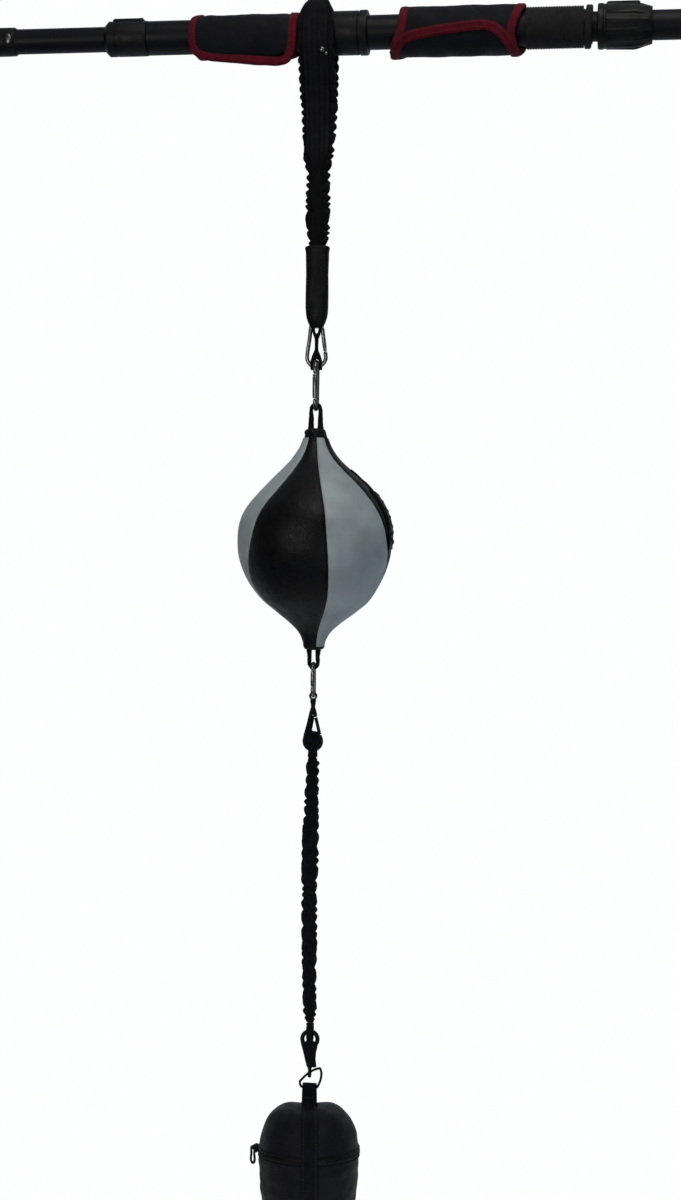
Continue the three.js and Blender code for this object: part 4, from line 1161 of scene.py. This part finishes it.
def eye(z, hole, radius, thickness, along_x):
    """Rings of an eye: a flat ring that stands upright."""
    middle = (hole + radius) / 2
    line = [(x, 0, up) for x, up in arc(z, middle, np.degrees(round_angles(36)))]
    rings = swept(line, (0, 1, 0), (radius - hole) / 2, thickness / 2, power=3, sides=14, closed=True)
    rings = np.concatenate([rings, rings[:1]])
    return rings[..., [1, 0, 2]] if along_x else rings


def add_hooks():
    """Three plated snap hooks, and the two black ones at the ends of the lower elastic."""
    plated = (STEEL, "steel")
    black = (HOOK_PAINT, "black_paint")
    add_hook("carabiner_1", CARABINER_1, "strap_end", *plated, "gate_1")
    add_hook("carabiner_2", CARABINER_2, "snap_2", *plated, "gate_2", wide_up=True, edge_on=True)
    add_hook("carabiner_3", CARABINER_3, "snap_3", *plated, "gate_3", edge_on=True)
    collar = [(-790, 2.3), (-785, 2.6), (-781, 2.7), (-778.5, 3.3), (-775.5, 3.6), (-774.2, 2.6)]
    extras = [eye(-771, 2.6, 4.9, 4, along_x=False), turned(collar, 24)]
    add_hook("hook_4", HOOK_4, "upper_hook", *black, "upper_hook_gate", extras=extras)
    neck = [(-1207, 1.8), (-1204, 2.6), (-1201, 4.2), (-1197.5, 4.2), (-1196.5, 3.4)]
    extras = [eye(-1210.8, 3.1, 4.7, 3.4, along_x=True), turned(neck, 24)]
    add_hook("hook_5", HOOK_5, "lower_hook", *black, "lower_hook_gate", wide_up=True, extras=extras)


def add_hook_bunches():
    """The elastic's spare cloth, bunched up inside the window of each black hook."""
    # (height, middle x, half width) down each bunch
    bunches = (
        ("upper_hook", [(-794, -1.2, 2.2), (-798, -1.8, 2.8), (-802, -2.7, 3.2), (-807, -3.9, 3.6),
                        (-811, -4.6, 3.7), (-812.8, -1.6, 7.0), (-816, -0.4, 8.6), (-823, -0.2, 9.4),
                        (-829, 0, 8), (-831.6, 0, 5)]),
        ("lower_hook", [(-1172.6, 0, 4.0), (-1175, 0, 6.8), (-1179, 0.1, 7.4), (-1186, 0.5, 6.8),
                        (-1193, 1.1, 5.9), (-1199, 2.2, 5.2), (-1202.8, 3.4, 4.6)]),
    )
    deepest = 3.9
    for body, stations in bunches:
        z, middle, half = smooth_line(stations, 60).T
        rings = upright(z, middle, half, np.minimum(deepest, half + 1), power=2.6, sides=48)
        crease = value_noise(rings * (1.6, 1, 0.5), 3.4, 4.0)[..., None]
        off_plane = rings != 0  # points on a middle plane stay on it
        rings = rings + crease * (0.45, 0.75, 0.2) * off_plane
        part(body, body + "_cloth", [rings], GATHERED, (), "black_cloth")


# ==== the ball ====


def ball_radius(z):
    line = smooth_line([(height, radius) for radius, height in BALL_OUTLINE], 400)
    return np.interp(-z, -line[:, 0], line[:, 1])


def bulge(value, middle, width):
    """1 at the middle, and smoothly less away from it."""
    return np.exp(-(((value - middle) / width) ** 2))


def ball_point(radius, turn, z):
    """The ball is not quite round: its laced side stands out above, and its left side is slack."""
    slack = 4.6 * bulge(z, middle=-672, width=24) * np.clip(-np.sin(turn), 0, 1)
    stand = 4.2 * bulge(z, middle=-527, width=25) * np.clip(np.sin(turn), 0, 1)
    r = radius - slack + stand
    return np.stack([r * np.sin(turn), -r * np.cos(turn), z], axis=-1)


def seam_turn(deg, z):
    """A seam's angle at each height. Seams at the sides are drawn round, and those in the middle stay."""
    heights, draws = np.array(SEAM_DRAW, float).T
    draw = np.interp(-z, -heights, draws)
    reach = 8
    count = 2 * reach + 1
    draw = np.convolve(np.pad(draw, reach, mode="edge"), np.ones(count) / count, mode="valid")
    return np.radians(deg + draw * math.sin(math.radians(deg) - CAMERA_AZIMUTH))


def panel_grid(first_deg, last_deg):
    """One panel as a closed shell. Its edges turn in where it is sewn to its neighbours."""
    rows, cols = 120, 30
    z = np.linspace(BALL_OUTLINE[0][1], BALL_OUTLINE[-1][1], rows)
    radius = ball_radius(z)
    spread = (1 - np.cos(np.linspace(0, math.pi, cols))) / 2
    first, last = seam_turn(first_deg, z)[:, None], seam_turn(last_deg, z)[:, None]
    aa = first + (last - first) * spread
    zz, rr = (np.repeat(each[:, None], cols, axis=1) for each in (z, radius))
    to_seam = np.minimum(aa - first, last - aa) * rr
    width = (last - first) * rr
    lobe = np.clip(np.sin(math.pi * (aa - first) / (last - first)), 0, 1) ** 0.7
    full = ramp(rr, 15, 60)
    turned_in = 1.7 * np.exp(-to_seam / 1.5)
    flattened = 0.5 * full * (1 - lobe) * np.minimum(1, width / 60)
    outer = rr - turned_in - flattened
    spots = ball_point(outer, aa, zz)
    dents = value_noise(spots, 40, first_deg) * 0.7 * full
    pucker = value_noise(spots * (1, 1, 1.5), 7, 8.0) * np.exp(-to_seam / 8)
    outer = outer + dents + pucker * 0.5
    inner = np.minimum(outer, rr) - LEATHER
    return np.concatenate([ball_point(outer, aa, zz), ball_point(inner, aa, zz)[:, ::-1]], axis=1)


def add_ball():
    """Six sewn panels, black and grey in turn."""
    looks = ((BLACK_LEATHER, "black_leather"), (GREY_LEATHER, "grey_leather"))
    for k in range(6):
        material, slot = looks[k % 2]
        grid = panel_grid(SEAMS_DEG[k] + SEAM_GAP_DEG, SEAMS_DEG[k + 1] - SEAM_GAP_DEG)
        name = f"ball_leather_{k + 1}"
        piece = part("ball", name, [grid], material, [f"ball_panel_{k + 1}"], slot, sharp=60)


def add_bladder():
    """The rubber bladder, which fills the ball just inside the leather."""
    z = np.linspace(BALL_OUTLINE[0][1] - 3, BALL_OUTLINE[-1][1] + 3, 80)
    zz, aa = np.meshgrid(z, round_angles(72), indexing="ij")
    inside = LEATHER + 2.6
    grid = ball_point(ball_radius(zz) - inside, aa, zz)
    part("ball", "ball_bladder_rubber", [grid], BLADDER, ["ball_bladder"], "bladder_rubber")


def around_ball(deg, z, out=0.0, side=0.0):
    """A point on the ball at that angle from the front and height, moved out or sideways."""
    a = math.radians(deg)
    r = float(ball_radius(np.array([z]))[0]) + out
    return ball_point(r, a, z) + (side * math.cos(a), side * math.sin(a), 0)


def add_lacing():
    """The lacing flap over one seam, its cross laces, and the tied end above it."""
    heights = np.linspace(-531, -600, 60)
    face = np.array([around_ball(LACE_DEG, z, 10) - around_ball(LACE_DEG, z) for z in heights])
    grow = np.minimum(ramp(-heights, 531, 536), 1 - ramp(-heights, 575, 600) * 0.75)
    line = np.array([around_ball(LACE_DEG, z, 0.9) for z in heights])
    reach = 8.0
    grids = [swept(line, face, reach, 0.6 + 1.7 * grow, power=3, sides=28)]
    for k, z in enumerate(np.linspace(-537, -590, 7)):
        lean = 3.2 if k % 2 else -3.2
        cross = [
            around_ball(LACE_DEG, z + lean * side / reach, 3.3 - 0.035 * side**2, side)
            for side in np.linspace(-reach, reach, 9)
        ]
        grids.append(swept(cross, cross[4] * (1, 1, 0), 1.5, 1.1, sides=10))
    tail = ((-3, -508, 0.6), (0, -514, 1.0), (-2, -520, 0.9), (1, -526, 1.4), (-1, -532, 1.8))
    knot = [around_ball(LACE_DEG + turn, z, out) for turn, z, out in tail]
    grids.append(swept(smooth_line(knot, 20), knot[0] * (1, 1, 0), 1.6, 1.0, sides=10))
    part("ball", "ball_lacing", grids, BLACK_LEATHER, ["ball_lace_flap"], "black_leather")


def add_ball_necks():
    """The gathered leather neck at each end of the ball."""
    for label, neck, up in (("top", TOP_NECK, 1), ("bottom", BOTTOM_NECK, -1)):
        height, radius = smooth_line(neck, 30).T
        zz, aa = np.meshgrid(height, round_angles(84), indexing="ij")
        spots = np.stack([np.cos(aa) * 9, np.sin(aa) * 9, zz * 0.9], axis=-1)
        lumps = value_noise(spots, 4.5, 3.0 + up)
        r = radius[:, None] + lumps * 1.3 + 0.35 * np.sin(aa * 12 + zz * 0.6)
        rings = np.stack([r * np.cos(aa), r * np.sin(aa), zz], axis=-1)
        nodes = [f"ball_{label}_collar"]
        part("ball", f"ball_{label}_neck", [rings], BLACK_LEATHER, nodes, "black_leather", sharp=60)


def add_ball_loops():
    """The cord loops that the snap hooks hold: thin over the hook's wire, thicker at the neck."""
    thin = 2.3
    top, foot = CARABINER_2, CARABINER_3
    for label, wire_z, base_z, up, wire, thick in (
        ("top", top["lowest"] + top["wire"], -461.5, 1, top["wire"], 3.6),
        ("bottom", foot["lowest"] + foot["length"] - foot["wire"], -715.5, -1, foot["wire"], 3.2),
    ):
        bend = wire + thin + 0.35
        crown = [(x, z, thin) for x, z in arc(wire_z, bend, up * np.arange(0, 181, 20))]
        half_way = (base_z + wire_z) / 2
        leg = [(bend + 0.5, base_z, thick), (bend + 0.2, (base_z + half_way) / 2, thick - 0.3),
               (bend, half_way, thick - 0.6)]
        x, z, half = smooth_line(leg + crown + reflected(leg), 90).T
        rings = swept(np.stack([x, 0 * x, z], axis=1), (0, 1, 0), half, half + 1.2, power=2.6, sides=24)
        rings = rings + value_noise(rings, 4, 5.0)[..., None] * 0.35
        part("ball", f"ball_{label}_cord_loop", [rings], WEBBING, [f"ball_{label}_loop"], "black_cloth")


# ==== the elastic's end loops ====


def add_elastic_ends():
    """Where the elastic doubles back round the wire of each black hook, and the thread round it."""
    reach = 2.8 + 2.4
    top_wire = HOOK_4["lowest"] + HOOK_4["wire"]
    foot_wire = HOOK_5["lowest"] + HOOK_5["length"] - HOOK_5["wire"]
    # (label, wire, sewn end, direction, how far the crown runs on, half width, its loss over a range)
    for label, wire_z, base_z, up, tall, wide, loss, start, end in (
        ("top", top_wire, LOWER_TOP + 1, 1, 8.5, 4.9, 0.9, 8, 14),
        ("bottom", foot_wire, LOWER_FOOT - 1, -1, 17, 3.7, 0.6, 6, 20),
    ):
        side = [(-3.4, base_z), (-reach, (base_z + wire_z) / 2), (-reach, wire_z)]
        crown = [
            (-reach * math.cos(a), wire_z + up * (reach + tall * math.sin(a) ** 2) * math.sin(a))
            for a in np.radians([25, 50, 75, 90, 105, 130, 155])
        ]
        path = side_line(side + crown + reflected(side), 110)
        half = wide - loss * ramp(np.abs(path[:, 2] - wire_z), start, end)
        rings = swept(path, side_facing(path), half, 1.9, power=2.4, sides=36)
        rings = rings + value_noise(rings, 3.6, 9.0)[..., None] * (0.7, 0.35, 0.5)
        body = "elastic_" + label
        nodes = [f"lower_elastic_{label}_loop"]
        part(body, body + "_end", [rings], GATHERED, nodes, "black_cloth")
        whip = [(base_z + up * along, r) for along, r in ((-0.6, 3.6), (0, 4.6), (1.4, 4.8), (2.6, 4.0))]
        part(body, body + "_whipping", [turned(whip, 40)], BLACK_THREAD, (), "black_cloth")


# ==== the bag ====


def add_ring():
    """The wire ring: four corners, each rounded off."""
    corners = np.array(RING_CORNERS, float)
    bend = 1.6
    pull_in = 0.05
    line = []
    for k, corner in enumerate(corners):
        before, after = corners[k - 1], corners[(k + 1) % len(corners)]
        inside = corner + (corners.mean(axis=0) - corner) * pull_in
        line += [corner + unit(before - corner) * bend, inside, corner + unit(after - corner) * bend]
    path = smooth_line([(x, 0, z) for x, z in line], 120, closed=True)
    wire = swept(path, (0, 1, 0), RING_WIRE, RING_WIRE, sides=14, closed=True)
    part("ring", "triangle_ring_wire", [wire], HOOK_PAINT, ["triangle_ring"], "steel", looped=True)


def bag_point(r, turn, z):
    return np.stack([r * np.cos(turn), r * np.sin(turn), z], axis=-1)


def lid_height(x, y, z):
    """The lid sinks under the strap that runs over it, and stands in two lobes beside it."""
    turn = math.radians(BAG_TURN_DEG)
    from_strap = x * math.cos(turn) + y * math.sin(turn)
    dip = 2.8 * bulge(from_strap, middle=0, width=13)
    lobes = 1.9 * bulge(abs(from_strap), middle=29, width=12.5)
    return ramp(z, -1285, -1250) * (lobes - dip)


def bag_grid(outline, count, sides=160):
    """Radius, turn and height of each point of a round shell: count rings down its outline."""
    line = smooth_line([(z, r) for r, z in outline], count)
    zz, aa = np.meshgrid(line[:, 0], round_angles(sides), indexing="ij")
    return np.repeat(line[:, 1:], sides, axis=1), aa, zz


def add_bag_body():
    """The zipped bag's soft round body, drawn in under the strap."""
    rr, aa, zz = bag_grid(BAG_OUTLINE, 130)
    spots = bag_point(rr, aa, zz)
    creases = value_noise(spots * (1, 1, 2.4), 30, 2.0) * 1.3
    creases += value_noise(spots * (1, 1, 1.2), 12, 5.0) * 0.55
    tight = np.minimum(ramp(zz, -1462, -1452), 1 - ramp(zz, -1312, -1304))
    rr = rr + creases * tight * 0.9 - 0.4
    from_strap = rr * np.cos(aa - math.radians(BAG_TURN_DEG))
    under_strap = 1.2 * np.exp(-((from_strap / 10) ** 4))
    rings = bag_point(rr - under_strap, aa, zz)
    body = part("bag", "bag_cloth_body", [rings], NYLON, ["bag_body"], "black_cloth", sharp=60)


def add_bag_lid():
    """The domed lid, which stands in two lobes."""
    rr, aa, zz = bag_grid(LID_OUTLINE, 70)
    spots = bag_point(rr, aa, zz)
    creases = value_noise(spots * (1, 1, 1.6), 26, 8.0) * 1.5 + value_noise(spots, 10, 1.0) * 0.5
    creases *= 1 - ramp(-zz, 1286, 1296)
    rings = bag_point(rr + creases * 0.55 * ramp(rr, 6, 30), aa, zz)
    rings[..., 2] += lid_height(rings[..., 0], rings[..., 1], zz) + creases * 0.3
    lid = part("bag", "bag_cloth_lid", [rings], NYLON, ["bag_lid"], "black_cloth", sharp=60)


def add_piping():
    """Thin piping above and below the zip, and round the bag's foot."""
    thick = 1.0
    grids = []
    for radius, z in ((58.3, -1295.4), (58.4, -1304.6), (52.6, -1457.5)):
        turn = round_angles(160)
        ring = bag_point(radius, turn, z + 0 * turn)
        grids.append(swept(ring, ring * (1, 1, 0), thick, thick, sides=10, closed=True))
    part("bag", "bag_piping", grids, WEBBING, (), "black_cloth", looped=True)


def add_zip_teeth():
    """The zip round the bag's rim: tape, and two rows of meshing teeth."""
    half_tape = [(-3.2, 56.8), (-3.2, 58.4), (-1.6, 58.7)]
    tape = half_tape + reflected(half_tape)
    grids = [turned([(RIM_Z + rise, r) for rise, r in tape], 144)]
    tooth = np.array([0.9, 0.5])  # half the length of its foot and of its middle
    count = 132
    for k, turn in enumerate(round_angles(count)):
        out = np.array((math.cos(turn), math.sin(turn), 0))
        side = np.array((-math.sin(turn), math.cos(turn), 0))
        rise = 0.7 if k % 2 else -0.7
        middle = out * 58.9 + (0, 0, RIM_Z + rise)
        line = middle + np.outer([*-tooth, *tooth[::-1]], side)
        grids.append(swept(line, out, [0.8, 1.3, 1.3, 0.8], [0.3, 0.7, 0.7, 0.3], power=3, sides=10))
    part("bag", "bag_zip_teeth", grids, PLASTIC, ["bag_zipper"], "black_plastic")


def add_zip_slider():
    """The slider on the zip, its bridge, and the wire frame that hangs from it."""
    slider = block((-64.4, -4.2, RIM_Z - 4.8), (-60.0, 4.2, RIM_Z + 4.8), bevel=1.0)
    bridge = [(-63, 0, RIM_Z + 4), (-65.6, 0, RIM_Z + 3), (-66, 0, RIM_Z - 1), (-63.4, 0, RIM_Z - 3.4)]
    bridge = swept(smooth_line(bridge, 16), (0, 1, 0), 0.7, 1.5, power=3, sides=10)
    part("zip_slider", "zip_slider_body", [slider, bridge], HOOK_PAINT, ["zipper_slider"], "black_paint")

    right = [(2.2, 0), (2.8, -8), (3.3, -16), (1.8, -18.6)]
    outline = [(0, 1.2), *[(-y, z) for y, z in right], *reversed(right)]
    hang = math.radians(48)
    line = smooth_line([
        (-66.2 - y * math.sin(hang), y * math.cos(hang), RIM_Z + 0.5 + z * 0.95) for y, z in outline
    ], 60, closed=True)
    face = (math.cos(hang), math.sin(hang), 0)
    pull = swept(line, face, 1.5, 1.1, power=3, sides=12, closed=True)
    part("zip_pull", "zip_pull_frame", [pull], HOOK_PAINT, ["zipper_puller"], "black_paint", looped=True)


def twisted(grid):
    """The bag has turned a little on its ring, so its strap twists on the way down to it."""
    turn = math.radians(BAG_TURN_DEG) * ramp(abs(grid[..., 1]), 3, 22)
    x = grid[..., 0] * np.cos(turn) - grid[..., 1] * np.sin(turn)
    y = grid[..., 0] * np.sin(turn) + grid[..., 1] * np.cos(turn)
    return np.stack([x, y, grid[..., 2]], axis=-1)


def add_bag_webbing():
    """One strap: up the back of the bag, over the ring's lower bar, and down the front."""
    bar_z = RING_CORNERS[0][1]
    out = RING_WIRE + 2.9
    half = [(out, bar_z), (out, -1230), (out + 0.2, -1240), (4.8, -1246.4), (12, -1249), (22, -1250),
            (31, -1251), (40.4, -1254), (48, -1260.6), (54.4, -1271.8), (57.9, -1284), (59.9, -1298),
            (59.6, -1320), (58.6, -1337), (56.6, -1353), (55.5, -1400), (54.9, -1448), (53.4, -1457)]
    path = side_line(reflected(half) + arc(bar_z, out, range(150, 29, -30)) + half, 320)
    face = -side_facing(path)
    wide = np.interp(path[:, 2], [-1462, -1256, -1246, -1226], [9.2, 9.2, 8.4, 8.0])
    rings = twisted(swept(path, face, wide, 0.9, power=6, sides=40))
    strap = skin("bag_strap", [rings], WEBBING)
    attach(strap, "bag")
    stand_in(["bag_webbing"])

    rows = []
    sewn = slice(10, -10)
    for side in (-7.0, 7.0):
        row = path[sewn] + (side, 0, 0) + unit(face[sewn]) * 0.95
        clear_of_ring = np.abs(row[:, 2] - bar_z) > 24
        row = row[clear_of_ring]
        for run in (row[row[:, 1] < 0], row[row[:, 1] > 0]):
            rows += stitches(run, run * (0, 1, 0) + (0, 0, 20), length=3.0, gap=1.4)
    across = [(x, -out - 1.0, -1238) for x in np.linspace(-6.4, 6.4, 8)]
    rows += stitches(across, (0, -1, 0), length=2.2, gap=1.0)
    rows = [twisted(row) for row in rows]
    part("bag", "bag_strap_stitches", rows, BLACK_THREAD, (), "black_cloth")


# ==== finishes on the CAD nodes that still show, and the studio ====


def finish_hidden_nodes():
    """The inner parts keep their CAD shape and only take a better finish."""
    for node, material in (("left_tube_bush", PLASTIC), ("bag_sand", SAND)):
        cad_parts[node].material_slots[0].material = material


def add_floor():
    """A pale floor well below the bag."""
    radius, depth = 620.0, -1560.0
    profile = [(depth - 10, radius), (depth, radius), (depth, radius / 2), (depth, radius / 1000)]
    skin("studio_floor", [turned(profile, 96)], FLOOR)


def add_world():
    """A bright backdrop all round, and a cooler light that comes mostly from behind."""
    world = bpy.data.worlds.new("studio")
    bpy.context.scene.world = world
    world.use_nodes = True
    nodes, links = world.node_tree.nodes, world.node_tree.links
    seen = nodes["Background"]
    seen.inputs["Color"].default_value = (0.985, 1.0, 0.99, 1)
    seen.inputs["Strength"].default_value = 1.0
    light = nodes.new("ShaderNodeBackground")
    light.inputs["Color"].default_value = (0.80, 0.90, 1.0, 1)
    place = nodes.new("ShaderNodeTexCoord")
    split = nodes.new("ShaderNodeSeparateXYZ")
    fall = nodes.new("ShaderNodeMapRange")
    for label, value in (("From Min", -0.1), ("From Max", 0.75), ("To Min", 0.04), ("To Max", 0.5)):
        fall.inputs[label].default_value = value
    path = nodes.new("ShaderNodeLightPath")
    mix = nodes.new("ShaderNodeMixShader")
    for source, target in (
        (place.outputs["Generated"], split.inputs[0]),
        (split.outputs["Y"], fall.inputs["Value"]),
        (fall.outputs["Result"], light.inputs["Strength"]),
        (path.outputs["Is Camera Ray"], mix.inputs[0]),
        (light.outputs[0], mix.inputs[1]),
        (seen.outputs[0], mix.inputs[2]),
        (mix.outputs[0], nodes["World Output"].inputs["Surface"]),
    ):
        links.new(source, target)


def add_lamps():
    """Soft square lights: name, place, what it is aimed at, size, watts and colour."""
    for name, place, aim, size, power, colour in (
        ("key", (-0.35, -2.6, -0.35), (0.47, 0, -0.60), 0.9, 14, (1.0, 0.98, 0.95)),
        ("overhead", (0.9, -1.0, 1.4), (0.47, 0, -0.3), 1.6, 20, (1.0, 0.97, 0.92)),
        ("low_fill", (1.6, -1.9, -1.3), (0.47, 0, -1.1), 1.2, 6.5, (0.78, 0.91, 1.0)),
    ):
        lamp = bpy.data.lights.new(name, "AREA")
        lamp.size = size
        lamp.energy = power
        lamp.color = colour
        obj = bpy.data.objects.new(name, lamp)
        bpy.context.collection.objects.link(obj)
        obj.location = place
        obj.rotation_euler = (Vector(aim) - Vector(place)).to_track_quat("-Z", "Y").to_euler()


for add in (
    add_camera, add_lower_elastic, add_upper_elastic, add_feet, add_tubes, add_left_socket,
    add_left_collar, add_coupling, add_ribbed_sleeve, add_lock_collar, add_right_socket,
    add_left_grip, add_right_grip, add_strap_loop, add_strap_webbing, add_sleeve, add_tether,
    add_hooks, add_hook_bunches, add_ball, add_bladder, add_lacing, add_ball_necks, add_ball_loops,
    add_elastic_ends, add_ring, add_bag_body, add_bag_lid, add_piping, add_zip_teeth,
    add_zip_slider, add_bag_webbing, finish_hidden_nodes, add_floor, add_world, add_lamps,
):
    add()
bpy.context.scene.view_settings.view_transform = "Standard"
